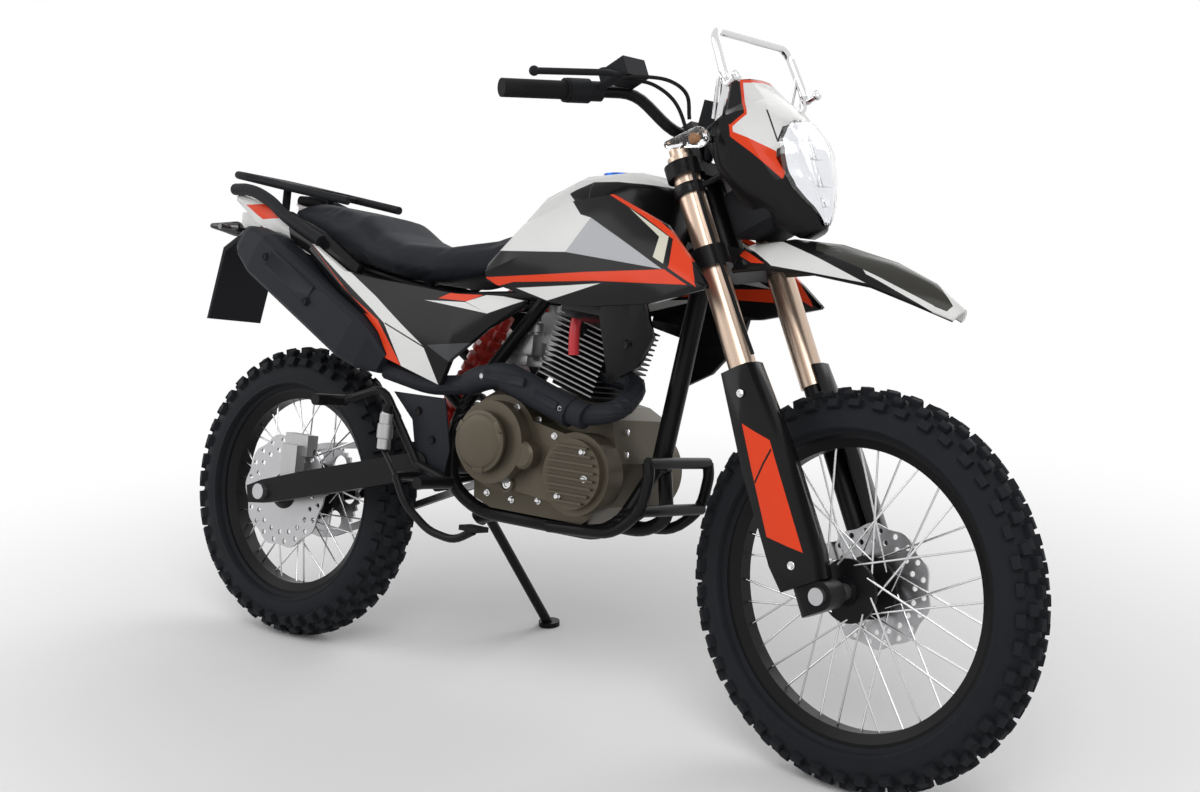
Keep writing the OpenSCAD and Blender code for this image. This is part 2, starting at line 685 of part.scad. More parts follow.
// Front caliper behind the left leg, its slot cut round the disc
module front_caliper() color(dark) steered() {
  y = front_hub_w / 2 + disc_step;
  centre = [axle_off - front_disc_r * caliper_back_share, 0, front_disc_r * caliper_up_share];
  leg = [clamp_offset, fork_y, centre[2]];
  jaw = [centre[0], y + disc_t + caliper_out * 0.6, centre[2]];
  reach = unit(jaw - leg);
  difference() {
    translate(centre + [-caliper_l / 2, y - caliper_in, -caliper_h / 2])
      cube([caliper_l, caliper_in + disc_t + caliper_out, caliper_h]);
    translate([axle_off, y - pad_gap, 0]) rotate([-90, 0, 0])
      cylinder(h = disc_t + 2 * pad_gap, r = front_disc_r + pad_gap * 2);
  }
  rod(jaw, leg + reach * (knuckle_r + seat_gap), boss_r);
}
// Share of the height, nose, half width and back at each section
mask_section_shares = [[0, 0.87, 0.2, 0.7], [0.12, 0.94, 0.44, 0.58], [0.31, 1, 0.72, 0.46],
  [0.5, 0.99, 0.94, 0.42], [0.68, 0.93, 1, 0.42], [0.76, 0.89, 0.97, 0.446], [0.83, 0.84, 0.68, 0.482],
  [1, 0.73, 0.5, 0.6]];
mask_bow_shares = [[0, 0.14], [0.08, 0.5], [0.4, 0.9], [0.7, 1], [1, 0.94]];
function mirrored(half, s) = [for (p = concat(half, [for (i = [len(half) - 1 : -1 : 0])
  [half[i][0], -half[i][1]]])) [p[0], p[1], s]];
function mask_ring(row) = mirrored([for (p = mask_bow_shares)
  [mask_nose * between(row[1], row[3], p[0]), mask_w / 2 * row[2] * p[1]]], mask_s + mask_h * row[0]);
// Share of the mask's height, nose and half width and of the lens's depth at each section
lens_section_shares = [[0.02, 0.89, 0.1, 0.4], [0.12, 0.955, 0.3, 0.8], [0.25, 1, 0.46, 1],
  [0.43, 1.02, 0.62, 1], [0.52, 1.01, 0.6, 1], [0.6, 0.985, 0.44, 1], [0.65, 0.97, 0.2, 0.8]];
lens_deep = 62;
lens_bow_shares = [[0, 0.3], [0.12, 0.66], [0.6, 1]];
function lens_ring(row, gap) = let (s = mask_s + mask_h * row[0], nose = mask_nose * row[1] + gap,
  w = mask_w / 2 * row[2] + gap, deep = lens_deep * row[3],
  half = concat([for (p = lens_bow_shares) [nose - deep * p[0], w * p[1]]], [[nose - deep - 2 * gap, w]]))
  mirrored(half, s);
module lens_form(gap) loft([for (i = [0 : len(lens_section_shares) - 1])
  let (row = lens_section_shares[i], lift = i == 0 ? -gap : i == len(lens_section_shares) - 1 ? gap : 0)
  [for (p = lens_ring(row, gap)) p + [0, 0, lift]]]);
stay_s = 752;
stay_h = 20;
stay_t = 6;
stay_share = 0.7;
rack_foot_u = 132;
rack_foot_share = 0.84;
rack_foot_s = 846;
rack_bend_u = 184;
rack_bend_s = 895;
rack_crown_share = 0.8;
rack_path = [[rack_foot_u, rack_w / 2 * rack_foot_share, rack_foot_s], [rack_bend_u, rack_w / 2,
  rack_bend_s],
  [rack_bend_u, rack_w / 2 * 0.92, rack_top - rack_tube_r * 2],
  [rack_bend_u, rack_w / 2 * rack_crown_share, rack_top]];
module rack_tubes(r) tube(concat(rack_path,
  [for (i = [len(rack_path) - 1 : -1 : 0]) flip(rack_path[i], -1)]), r);
module headlight_mask() color(white) steered() difference() {
  union() {
    loft([for (row = mask_section_shares) mask_ring(row)]);
    both_sides() difference() {
      union() {
        translate([clamp_offset, fork_y, stay_s]) cylinder(h = stay_h, r = upper_tube_r + stay_t);
        rod([clamp_offset, fork_y, stay_s + stay_h / 2], [mask_nose * 0.5, fork_y * 0.9,
          stay_s + stay_h / 2], stay_t);
      }
      translate([clamp_offset, fork_y, stay_s - cut]) cylinder(h = stay_h + 2 * cut,
        r = upper_tube_r + seat_gap);
    }
  }
  lens_form(seat_gap);
  rack_tubes(rack_tube_r + seat_gap);
  both_sides() signal_stalk(stay_t + seat_gap);
}
module headlight_lens() color([0.85, 0.9, 0.95]) steered() lens_form(0);
rack_stud_r = 5;
rack_stud_l = 26;
rack_ball_r = 8;
module accessory_rack() color(steel) steered() {
  rack_tubes(rack_tube_r);
  both_sides() {
    rod(rack_path[1], rack_path[1] + [rack_stud_l, 0, 0], rack_stud_r);
    translate(rack_path[1] + [rack_stud_l, 0, 0]) sphere(rack_ball_r);
  }
}
// Share of the length forwards, drop, half width and edge drop at each section
fender_section_shares = [[0, 0, 0.96, 0.6], [0.22, 0.09, 1, 0.62], [0.48, 0.27, 0.88, 0.6],
  [0.74, 0.53, 0.7, 0.49], [0.9, 0.75, 0.46, 0.44], [1, 0.97, 0.22, 0.24]];
fender_u = 72;
fender_s = 648;
fender_fall_share = 0.64;
fender_reach_share = 0.79;
fender_arch = 3;
// Point, direction and ring of the fender's arch at one section
function fender_at(row) = [fender_u + fender_l * fender_reach_share * row[0], 0,
  fender_s - fender_l * fender_fall_share * row[1]];
function fender_ring(i) = let (row = fender_section_shares[i], last = len(fender_section_shares) - 1,
  d = unit(fender_at(fender_section_shares[min(i + 1,
    last)]) - fender_at(fender_section_shares[max(i - 1, 0)])),
  n = [-d[2], 0, d[0]], w = fender_w / 2 * row[2], drop = fender_w / 2 * row[3],
  outer = [for (k = [-fender_arch : fender_arch]) let (t = -k / fender_arch)
    [w * t, -drop * pow(abs(t), 2)]],
  inner = [for (k = [fender_arch : -1 : -fender_arch]) let (t = -k / fender_arch)
    [(w - fender_t) * t, -fender_t - drop * pow(abs(t), 2)]])
  [for (p = concat(outer, inner)) fender_at(row) + [0, p[0], 0] + n * p[1]];
stud_r = 2.4;
stud_shares = [0.12, 0.3];
// Point in the middle of the fender's wall, at a share t between its first two sections
function fender_wall(t, side) = let (out = fender_arch - side, in = 3 * fender_arch + 1 + side)
  (between(fender_ring(0)[out], fender_ring(1)[out], t)
    + between(fender_ring(0)[in], fender_ring(1)[in], t)) / 2;
module front_fender() color(black) steered() {
  loft([for (i = [0 : len(fender_section_shares) - 1]) fender_ring(i)]);
  for (side = [-1, 1]) for (t = stud_shares) {
    p = fender_wall(t, side);
    front = between(clamp_nose, clamp_offset + upper_tube_r, abs(p[1]) / fork_y);
    rod([front + 2 * seat_gap, p[1], p[2]], p, stud_r);
  }
}
signal_u = 116;
signal_s = 822;
signal_y = 132;
signal_l = 58;
signal_r = 19;
signal_tip_r = 7;
signal_sweep_share = 0.7;
module signal_stalk(r) rod([signal_u, fork_y, signal_s], [signal_u, signal_y + signal_r, signal_s], r);
module front_signals() color([0.8, 0.8, 0.8]) steered() both_sides() {
  hull() {
    translate([signal_u, signal_y + signal_r, signal_s]) sphere(signal_r, $fn = 24);
    translate([signal_u - signal_l * signal_sweep_share, signal_y + signal_l,
      signal_s]) sphere(signal_tip_r, $fn = 24);
  }
  signal_stalk(stay_t);
}

// Frame
// Point of the frame from its shares of the wheelbase, half width and height
function frame_at(p) = [p[0] * wheelbase, p[1] * frame_w / 2, p[2] * frame_h];
cradle_z_share = 0.446;
link_low = 35;
link_high = 48;
seat_x = tank_x - seat_gap - seat_l;
rail_bend_l = 188;
rail_end_l = 82;
stay_end_l = 158;
backbone_shares = [[0.643, 0, 1.034], [0.486, 0, 1]];
down_foot_shares = [0.684, 0, 0.608];
cradle_shares = [[0.684, 0.16, 0.604], [0.668, 0.78, 0.482], [0.629, 0.78, cradle_z_share], [0.42,
  0.78, cradle_z_share],
  [0.376, 1, (pivot_z - link_low) / frame_h], [0.369, 1, (pivot_z + link_high) / frame_h],
  [0.378, 0.95, 0.69], [0.5, 0.62, 0.985]];
// Pivot plate outline as shares of the wheelbase, and of the frame's height above the pivot
plate_outline_shares = [[0.318, -0.012], [0.32, 0.026], [0.36, 0.083], [0.384, 0.07], [0.388, -0.052],
  [0.37, -0.06]];
rail_shares = [[0.486, 0.62, 0.975], [0.321, 0.7, 0.952],
  [(seat_x + rail_bend_l) / wheelbase, 0.72, 1.012], [(seat_x - rail_end_l) / wheelbase, 0.66, 1.078]];
stay_end_shares = [[0.378, 0.95, 0.69], [(seat_x + stay_end_l) / wheelbase, 0.73, 1]];
cross_shares = [for (i = [0, 2, 3]) rail_shares[i]];
shock_top_shares = [0.4, 0.67, 0.962];
head_low = lower_clamp_s + lower_clamp_t + seat_gap;
head_high = upper_clamp_s - seat_gap;
head_join = 40;
down_join = 88;
pivot_plate_t = 12;
cross_r = 9;
link_rod_r = 10;
plate_y = arm_y + arm_w / 2 + seat_gap * 4;
tank_post_x_share = 0.5;
tank_rise = 36;
tank_z = frame_h + tank_rise;
tank_post_r = 12;
stand_eye_r = 19;
stand_eye_w = 26;
stand_lug_t = 12;
// Side stand pivot, its pin direction and its leg direction
stand_pivot = [wheelbase * 0.305, frame_w / 2 * 1.36, frame_h * 0.41];
stand_pin = [0, 0.817, 0.576];
stand_leg = unit([0.1, 0.655, -0.749]);
// Bent tube of the frame through a list of shares, on the left for side 1
module frame_tube(shares, side, r) tube([for (p = shares) flip(frame_at(p), side)], r);
module frame() color(black) placed() {
  difference() {
    union() {
      at_head() translate([0, 0, head_low]) cylinder(h = head_high - head_low, r = head_r);
      tube(concat([on_axis(head_low + head_join)], [for (p = backbone_shares) frame_at(p)]),
        main_tube_r);
      rod(on_axis(head_low + down_join), frame_at(down_foot_shares), main_tube_r);
    }
    at_head() translate([0, 0, head_low - cut]) cylinder(h = head_high - head_low + 2 * cut,
      r = stem_r + bore_gap);
  }
  rod(frame_at(cradle_shares[0]), flip(frame_at(cradle_shares[0]), -1), link_rod_r);
  for (side = [-1, 1]) {
    frame_tube(cradle_shares, side, cradle_r);
    frame_tube(rail_shares, side, rail_r);
    frame_tube(stay_end_shares, side, rail_r);
    for (i = [4, 5]) rod(flip(frame_at(cradle_shares[i]), side),
      flip(frame_at(cradle_shares[i]) + [0, plate_y - frame_w / 2 + pivot_plate_t / 2, 0],
        side), link_rod_r);
  }
  both_sides() across([for (p = plate_outline_shares) [p[0] * wheelbase, pivot_z + p[1] * frame_h]],
    plate_y,
    plate_y + pivot_plate_t);
  rod([pivot_x, -plate_y - cut, pivot_z], [pivot_x, plate_y + cut, pivot_z], pivot_bolt_r);
  for (p = cross_shares) rod(frame_at(p), flip(frame_at(p), -1), cross_r);
  rod(frame_at(shock_top_shares), flip(frame_at(shock_top_shares), -1), rail_r);
  translate([tank_x + tank_l * tank_post_x_share, 0, frame_h])
    cylinder(h = tank_z - seat_gap - frame_h, r = tank_post_r);
  rod(stand_pivot - stand_pin * (stand_eye_w / 2 + stand_lug_t),
    stand_pivot + stand_pin * (stand_eye_w / 2 + stand_lug_t / 2), stand_pin_r);
  rod(stand_pivot - stand_pin * (stand_eye_w / 2 + seat_gap),
    stand_pivot - stand_pin * (stand_eye_w / 2 + stand_lug_t), stand_eye_r);
  rod(stand_pivot - stand_pin * (stand_eye_w / 2 + rail_r + seat_gap * 2),
    frame_at(cradle_shares[3]), rail_r);
}
module side_stand() color(black) placed() {
  foot = stand_pivot + stand_leg * stand_l;
  ground = [foot[0], foot[1], foot[1] * tan(lean)];
  difference() {
    union() {
      rod(stand_pivot - stand_pin * stand_eye_w / 2, stand_pivot + stand_pin * stand_eye_w / 2,
        stand_eye_r);
      rod(stand_pivot + stand_leg * stand_pin_r, ground, stand_r);
      translate(ground) rotate([lean, 0, 0]) cylinder(h = stand_r, r = stand_foot_r);
    }
    rod(stand_pivot - stand_pin * (stand_eye_w / 2 + cut),
      stand_pivot + stand_pin * (stand_eye_w / 2 + cut), stand_pin_r + bore_gap);
    translate(ground) rotate([lean, 0, 0]) translate([0, 0, -stand_foot_r])
      cylinder(h = stand_foot_r, r = 2 * stand_foot_r);
  }
}

// Engine
case_z = cradle_z_share * frame_h + cradle_r + seat_gap;
// Crankcase outline as shares of its length and height
case_outline_shares = [[0.03, 0.06], [0.16, 0], [0.8, 0], [0.95, 0.16], [1, 0.5], [0.93, 0.82], [0.8,
  0.91], [0.4, 1],
  [0.165, 0.96], [0.04, 0.86], [0, 0.46]];
function case_at(p) = [case_x + case_l * p[0], case_z + case_h * p[1]];
sprocket_x = 530;
sprocket_z = 470;
drive_r = 36;
drive_boss_r = 30;
drive_shaft_r = 10;
chain_y = rear_hub_w / 2 + sprocket_step + sprocket_t / 2;
link_gap = 4.5;
link_t = 3.5;
flywheel_shares = [0.72, 0.4];
flywheel_r = 86;
flywheel_w = 52;
drive_boss_y = 55;
module engine_case() color(case_grey) placed() {
  across([for (p = case_outline_shares) case_at(p)], -case_w / 2, case_w / 2);
  wheel = case_at(flywheel_shares);
  rod([wheel[0], case_w / 2 - cut, wheel[1]], [wheel[0], case_w / 2 + flywheel_w, wheel[1]],
    flywheel_r);
  rod([sprocket_x, -drive_boss_y, sprocket_z], [sprocket_x, drive_boss_y, sprocket_z], drive_boss_r);
  translate([sprocket_x, -drive_boss_y, sprocket_z - drive_boss_r * 0.9])
    cube([case_x - sprocket_x + cut + drive_boss_r, 2 * drive_boss_y, drive_boss_r * 1.8]);
  rod([sprocket_x, drive_boss_y - cut, sprocket_z], [sprocket_x, chain_y + link_gap + link_t,
    sprocket_z], drive_shaft_r);
  rod([sprocket_x, chain_y - link_gap + seat_gap, sprocket_z], [sprocket_x,
    chain_y + link_gap - seat_gap, sprocket_z], drive_r);
}
clutch_shares = [0.285, 0.54];
oval_shares = [0.82, 0.39];
cover_rim = 12;
cover_step_share = 0.6;
oval_r = 66;
oval_fin_t = 4;
oval_fin_count = 8;
oval_fin_h = 8;
clutch_boss_share = 0.42;
module clutch_cover() color(case_grey) placed() {
  a = case_at(clutch_shares);
  b = case_at(oval_shares);
  face = -case_w / 2 - seat_gap;
  step = face - cover_w * cover_step_share;
  translate([0, face, 0]) rotate([90, 0, 0]) linear_extrude(cover_w * cover_step_share) union() {
    translate(a) circle(clutch_r + cover_rim);
    translate(b) circle(oval_r + cover_rim);
    polygon([a + [0, clutch_r * 0.8], a - [clutch_r * 0.2, clutch_r], b - [0, oval_r], b + [0,
      oval_r]]);
  }
  rod([a[0], step + cut, a[1]], [a[0], face - cover_w, a[1]], clutch_r);
  rod([a[0], face - cover_w + cut, a[1]], [a[0], face - cover_w - cover_rim, a[1]],
    clutch_r * clutch_boss_share);
  rod([b[0], step + cut, b[1]], [b[0], step - cover_rim, b[1]], oval_r);
  for (i = [0 : oval_fin_count - 1]) {
    x = (i - (oval_fin_count - 1) / 2) * 2 * oval_r / (oval_fin_count + 1);
    half = sqrt(oval_r * oval_r - x * x) * 0.86;
    translate([b[0] - half, step - cover_rim - oval_fin_h, b[1] + x - oval_fin_t / 2])
      cube([2 * half, oval_fin_h + cut, oval_fin_t]);
  }
}
barrel_x_share = 0.54;
barrel_base = [case_x + case_l * barrel_x_share, 0, case_z + case_h * 0.98];
base_h = 14;
head_cap_h = 22;
plug_r = 9;
plug_l = 62;
module barrel_frame() placed() translate(barrel_base) rotate([0, barrel_tilt, 0]) children();
barrel_h = base_h + fin_pitch * fin_count + head_cap_h;
module barrel_solid() barrel_frame() {
  translate([-barrel_r, -barrel_r, 0]) cube([2 * barrel_r, 2 * barrel_r, base_h]);
  cylinder(h = barrel_h, r = barrel_r);
  for (i = [0 : fin_count - 1]) translate([-fin_l / 2, -fin_w / 2, base_h + fin_pitch * i])
    cube([fin_l, fin_w, fin_t]);
  translate([-fin_l * 0.36, -fin_w * 0.36, barrel_h - head_cap_h])
    cube([fin_l * 0.72, fin_w * 0.72, head_cap_h]);
  rod([0, -barrel_r, barrel_h * 0.62], [0, -barrel_r - plug_l, barrel_h * 0.8], plug_r);
}
module cylinder_barrel() color(black) difference() {
  barrel_solid();
  placed() across([for (p = case_outline_shares) case_at(p)], -case_w / 2, case_w / 2);
}
intake_h_share = 0.5;
intake_r = 20;
intake_l = 64;
carb_w = 52;
carb_h = 62;
carb_top_r = 24;
carb_top_h = 46;
bowl_r = 27;
bowl_h = 40;
// Carburettor on the intake stub behind the cylinder
module carburettor() color(steel) barrel_frame() translate([-barrel_r - intake_l, 0,
  barrel_h * intake_h_share]) rotate([0, -barrel_tilt, 0]) {
  rotate([0, barrel_tilt, 0]) difference() {
    rod([0, 0, 0], [intake_l + barrel_r / 2, 0, 0], intake_r);
    rod([intake_l + barrel_r, 0, -barrel_h], [intake_l + barrel_r, 0, barrel_h], barrel_r + seat_gap);
    for (i = [0 : fin_count - 1]) translate([intake_l + barrel_r - fin_l / 2 - seat_gap, -fin_w / 2,
      base_h + fin_pitch * i - barrel_h * intake_h_share - seat_gap])
        cube([fin_l, fin_w, fin_t + 2 * seat_gap]);
  }
  translate([-carb_w / 2, -carb_w / 2, -carb_h / 2]) cube([carb_w, carb_w, carb_h]);
  cylinder(h = carb_top_h, r = carb_top_r);
  translate([0, 0, -bowl_h - carb_h / 2 + cut]) cylinder(h = bowl_h, r = bowl_r);
}
// Exhaust run as shares of the crankcase's length, its width and its height, from the port back to the
// silencer
header_shares = [[0.75, -0.2, 1.14], [0.99, -0.24, 1.1], [1.03, -0.62, 0.9], [0.84, -0.8, 0.82],
  [0.3, -0.82, 1.06],
  [-0.02, -0.69, 0.94], [-0.3, -0.68, 0.9], [-0.62, -0.72, 0.98]];
header_bend = 34;
header_sides = 14;
function header_at(p) = [case_x + case_l * p[0], case_w * p[1], case_z + case_h * p[2]];
shield_t = 9;
module exhaust_header() color(black) placed() difference() {
  union() {
    sweep(rounded([for (p = header_shares) header_at(p)], header_bend), header_r, header_sides);
    rod(between(header_at(header_shares[3]), header_at(header_shares[4]), 0.1),
      between(header_at(header_shares[3]), header_at(header_shares[4]), 0.94), header_r + shield_t);
  }
  translate(barrel_base) rotate([0, barrel_tilt, 0]) cylinder(h = barrel_h, r = barrel_r + seat_gap);
  translate(barrel_base) rotate([0, barrel_tilt, 0]) for (i = [0 : fin_count - 1])
    translate([-fin_l / 2 - seat_gap, -fin_w / 2 - seat_gap, base_h + fin_pitch * i - seat_gap])
      cube([fin_l + 2 * seat_gap, fin_w + 2 * seat_gap, fin_t + 2 * seat_gap]);
}
silencer_slope = 29;
silencer_front = header_at(header_shares[7]);
// Share of the length, the height and the width at each section
silencer_section_shares = [[0, 0.42, 0.5], [0.1, 0.84, 0.86], [0.2, 1, 1], [0.86, 0.98, 0.98], [0.97,
  0.74, 0.8], [1, 0.6, 0.66]];
silencer_yaw = 3;
silencer_lift_share = 0.12;
silencer_y = 12;
silencer_sides = 16;
silencer_power = 4;
module silencer_form(gap) translate(silencer_front - [0, silencer_y, 0])
  rotate([0, silencer_slope, silencer_yaw])
  loft([for (i = [len(silencer_section_shares) - 1 : -1 : 0]) let (row = silencer_section_shares[i])
    [for (p = soft_ring(silencer_w / 2 * row[2] + gap, silencer_h / 2 * row[1] + gap,
      silencer_power, silencer_sides))
      [-silencer_l * row[0], p[0], p[1] + silencer_h * silencer_lift_share]]]);
module silencer() color(black) placed() silencer_form(0);
// Guard hoop as shares of the wheelbase, and of the guard's height over its foot
guard_hoop_shares = [[0.56, 0], [0.668, 0.06], [0.71, 0.4], [0.717, 0.84], [0.713, 1]];
guard_y = frame_w / 2 * cradle_shares[2][1] + cradle_r + guard_tube_r + seat_gap;
guard_z = cradle_z_share * frame_h;
function hoop_at(p) = [p[0] * wheelbase, guard_y, guard_z + p[1] * guard_h];
module engine_guard() color(black) placed() {
  for (side = [-1, 1]) tube([for (p = guard_hoop_shares) flip(hoop_at(p), side)], guard_tube_r);
  for (i = [2, 4]) rod(hoop_at(guard_hoop_shares[i]), flip(hoop_at(guard_hoop_shares[i]), -1),
    guard_tube_r);
}

// Tank, seat and panels
// Share of the length, of the half width, and of the height at the bottom and the top
tank_section_shares = [[0, 0.5, 0.12, 0.4], [0.1, 0.72, 0.03, 0.56], [0.25, 0.9, 0, 0.76], [0.5, 1,
  0, 0.95], [0.78, 0.94, 0.08, 1],
  [0.9, 0.68, 0.16, 0.97], [1, 0.32, 0.26, 0.86]];
tank_sides = 20;
function body_ring(x, w, z0, z1, power, n) = [for (p = soft_ring(w, (z1 - z0) / 2, power, n)) [x,
  p[0], (z0 + z1) / 2 + p[1]]];
tank_power = 2.8;
cap_r = 34;
cap_t = 16;
cap_x_share = 0.56;
cap_z_share = 0.91;
cap_tilt = -4;
module cap_frame() translate([tank_x + tank_l * cap_x_share, 0,
  tank_z + tank_h * cap_z_share]) rotate([0, cap_tilt, 0]) children();
module tank_form(gap) loft([for (row = tank_section_shares) body_ring(tank_x + tank_l * row[0],
  tank_w / 2 * row[1] + gap,
  tank_z + tank_h * row[2] - gap, tank_z + tank_h * row[3] + gap, tank_power, tank_sides)]);
module fuel_tank() color(white) placed() difference() {
  tank_form(0);
  cap_frame() translate([0, 0, -seat_gap]) cylinder(h = tank_h, r = cap_r + seat_gap);
}
module fuel_cap() color("royalblue") placed() cap_frame() cylinder(h = cap_t, r = cap_r);
// Share of the length, low and high edge as shares of the height, low and high edge as shares of the
// half width
shroud_section_shares = [[0, 0.2, 0.36, 0.71, 0.71], [0.14, 0.13, 0.72, 0.725, 0.69], [0.32, 0.06,
  0.92, 0.76, 0.69], [0.52, 0.06, 1, 0.835, 0.71],
  [0.78, 0.12, 0.76, 0.93, 0.82], [0.94, 0.22, 0.44, 0.985, 0.94], [1, 0.26, 0.3, 1, 0.99]];
scoop_section_shares = [[0.36, -0.03, 0.08, 0.66, 0.74], [0.53, -0.12, 0.1, 0.64, 0.8], [0.55, -0.56,
  0.1, 0.6, 0.8], [0.67, -0.4, 0.12, 0.62, 0.84], [0.74, -0.15, 0.14, 0.7, 0.88]];
shroud_x = tank_x - 2;
shroud_drop = 84;
shroud_z = tank_z - shroud_drop;
bulge_share = 0.04;
// Strip of a panel standing at x, from its low to its high edge, with a bulged outer face
function strip(x, y0, z0, y1, z1, bulge) = [[x, y0, z0], [x, (y0 + y1) / 2 + bulge, (z0 + z1) / 2],
  [x, y1, z1], [x, y1 - panel_t, z1],
  [x, (y0 + y1) / 2 + bulge - panel_t, (z0 + z1) / 2], [x, y0 - panel_t, z0]];
function shroud_strip(row) = strip(shroud_x + shroud_l * row[0], shroud_w / 2 * row[3],
  shroud_z + shroud_h * row[1],
  shroud_w / 2 * row[4], shroud_z + shroud_h * row[2], shroud_w / 2 * bulge_share);
shroud_boss_x_share = 0.42;
shroud_boss_z_share = 0.6;
shroud_boss_y_share = 0.74;
boss_in_share = 0.816;
module tank_shrouds() color(black) placed() both_sides() difference() {
  boss = [shroud_x + shroud_l * shroud_boss_x_share, shroud_w / 2 * shroud_boss_y_share,
    shroud_z + shroud_h * shroud_boss_z_share];
  union() {
    loft([for (row = shroud_section_shares) shroud_strip(row)]);
    loft([for (row = scoop_section_shares) shroud_strip(row)]);
    rod([boss[0], tank_w / 2 * boss_in_share, boss[2]], boss, panel_t);
  }
  tank_form(seat_gap);
}
// Share of the length, of the half width, and of the height at the bottom and the top
seat_section_shares = [[0, 0.62, 0.7, 0.96], [0.1, 0.78, 0.56, 0.985], [0.24, 0.9, 0.38, 0.93],
  [0.38, 0.97, 0.24, 0.86], [0.46, 1, 0.16, 0.66],
  [0.56, 1, 0.1, 0.54], [0.72, 0.86, 0.06, 0.52], [0.88, 0.64, 0.2, 0.64], [0.97, 0.52, 0.38, 0.8],
    [1, 0.46, 0.46, 0.82]];
seat_drop = 24;
seat_z = frame_h - seat_drop;
seat_power = 3.2;
bumper_r = 10;
bumper_h = 38;
bumper_shares = [0.2, 0.8];
module seat() color(dark) placed() difference() {
  union() {
    loft([for (row = seat_section_shares) body_ring(seat_x + seat_l * row[0], seat_w / 2 * row[1],
      seat_z + seat_h * row[2], seat_z + seat_h * row[3], seat_power, tank_sides)]);
    both_sides() for (t = bumper_shares) translate(between(frame_at(rail_shares[1]),
      frame_at(rail_shares[2]), t))
      cylinder(h = bumper_h, r = bumper_r);
  }
  for (side = [-1, 1]) frame_tube(rail_shares, side, rail_r + seat_gap);
}
// Share of the length, low and high edge as shares of the height, low and high edge as shares of the
// half width
side_section_shares = [[0, 0.9, 1, 1, 1], [0.18, 0.56, 0.8, 1, 1], [0.34, 0.2, 0.76, 1, 0.92], [0.52,
  0.1, 0.73, 1, 0.92],
  [0.69, 0, 0.7, 1, 0.92], [0.72, 0.2, 0.7, 0.98, 0.92], [0.86, 0.46, 0.71, 0.94, 0.9], [1, 0.66,
    0.71, 0.88, 0.88]];
side_x = 126;
side_drop = 216;
side_z = frame_h - side_drop;
panel_gap = 4;
panel_boss_r = 8;
module side_panels() color(black) placed() both_sides() difference() {
  boss = between(frame_at(stay_end_shares[0]), frame_at(stay_end_shares[1]), panel_boss_share);
  union() {
    loft([for (row = side_section_shares) strip(side_x + side_l * row[0], side_w / 2 * row[3],
      side_z + side_h * row[1],
      side_w / 2 * row[4], side_z + side_h * row[2], side_w / 2 * bulge_share)]);
    rod(boss, [boss[0], side_w / 2 - panel_t / 2, boss[2]], panel_boss_r);
  }
  mirror([0, 1, 0]) silencer_form(panel_gap);
  frame_tube(stay_end_shares, 1, rail_r + seat_gap);
}
panel_boss_share = 0.4;
tail_section_shares = [[0, 0.9, 1, 0.68, 0.62], [0.22, 0.62, 0.88, 0.84, 0.76], [0.46, 0.4, 0.78,
  0.94, 0.86], [0.74, 0.2, 0.54, 1, 0.92], [1, 0, 0.16, 0.95, 0.93]];
tail_back = 168;
tail_x = seat_x - tail_back;
tail_drop = 18;
tail_z = frame_h - tail_drop;
tail_block_shares = [[0, -0.66], [1, -0.78], [1, 0.78], [0, 0.66]];
tail_block_l = 84;
tail_block_h = 34;
tail_block_in = 20;
tail_block_x = tail_x + tail_block_in;
tail_block_z = frame_at(rail_shares[3])[2] + rail_r + seat_gap;
module tail_fairing() color(white) placed() {
  both_sides() difference() {
    loft([for (row = tail_section_shares) strip(tail_x + tail_l * row[0], tail_w / 2 * row[3],
      tail_z + tail_h * row[1],
      tail_w / 2 * row[4], tail_z + tail_h * row[2], tail_w / 2 * bulge_share)]);
    mirror([0, 1, 0]) silencer_form(panel_gap);
  }
  translate([0, 0, tail_block_z]) linear_extrude(tail_block_h) polygon([for (p = tail_block_shares)
    [tail_block_x + tail_block_l * p[0], tail_w / 2 * p[1]]]);
}
carrier_back = 44;
carrier_x = tail_x - carrier_back;
carrier_lift = 148;
carrier_z = frame_h + carrier_lift;
carrier_rise = 52;
carrier_plate_l = 150;
carrier_plate_w = 150;
carrier_plate_t = 6;
carrier_top = 5;
carrier_bar_r = 6.5;
carrier_plate_x_share = 0.36;
carrier_slope = atan(carrier_rise / carrier_l);
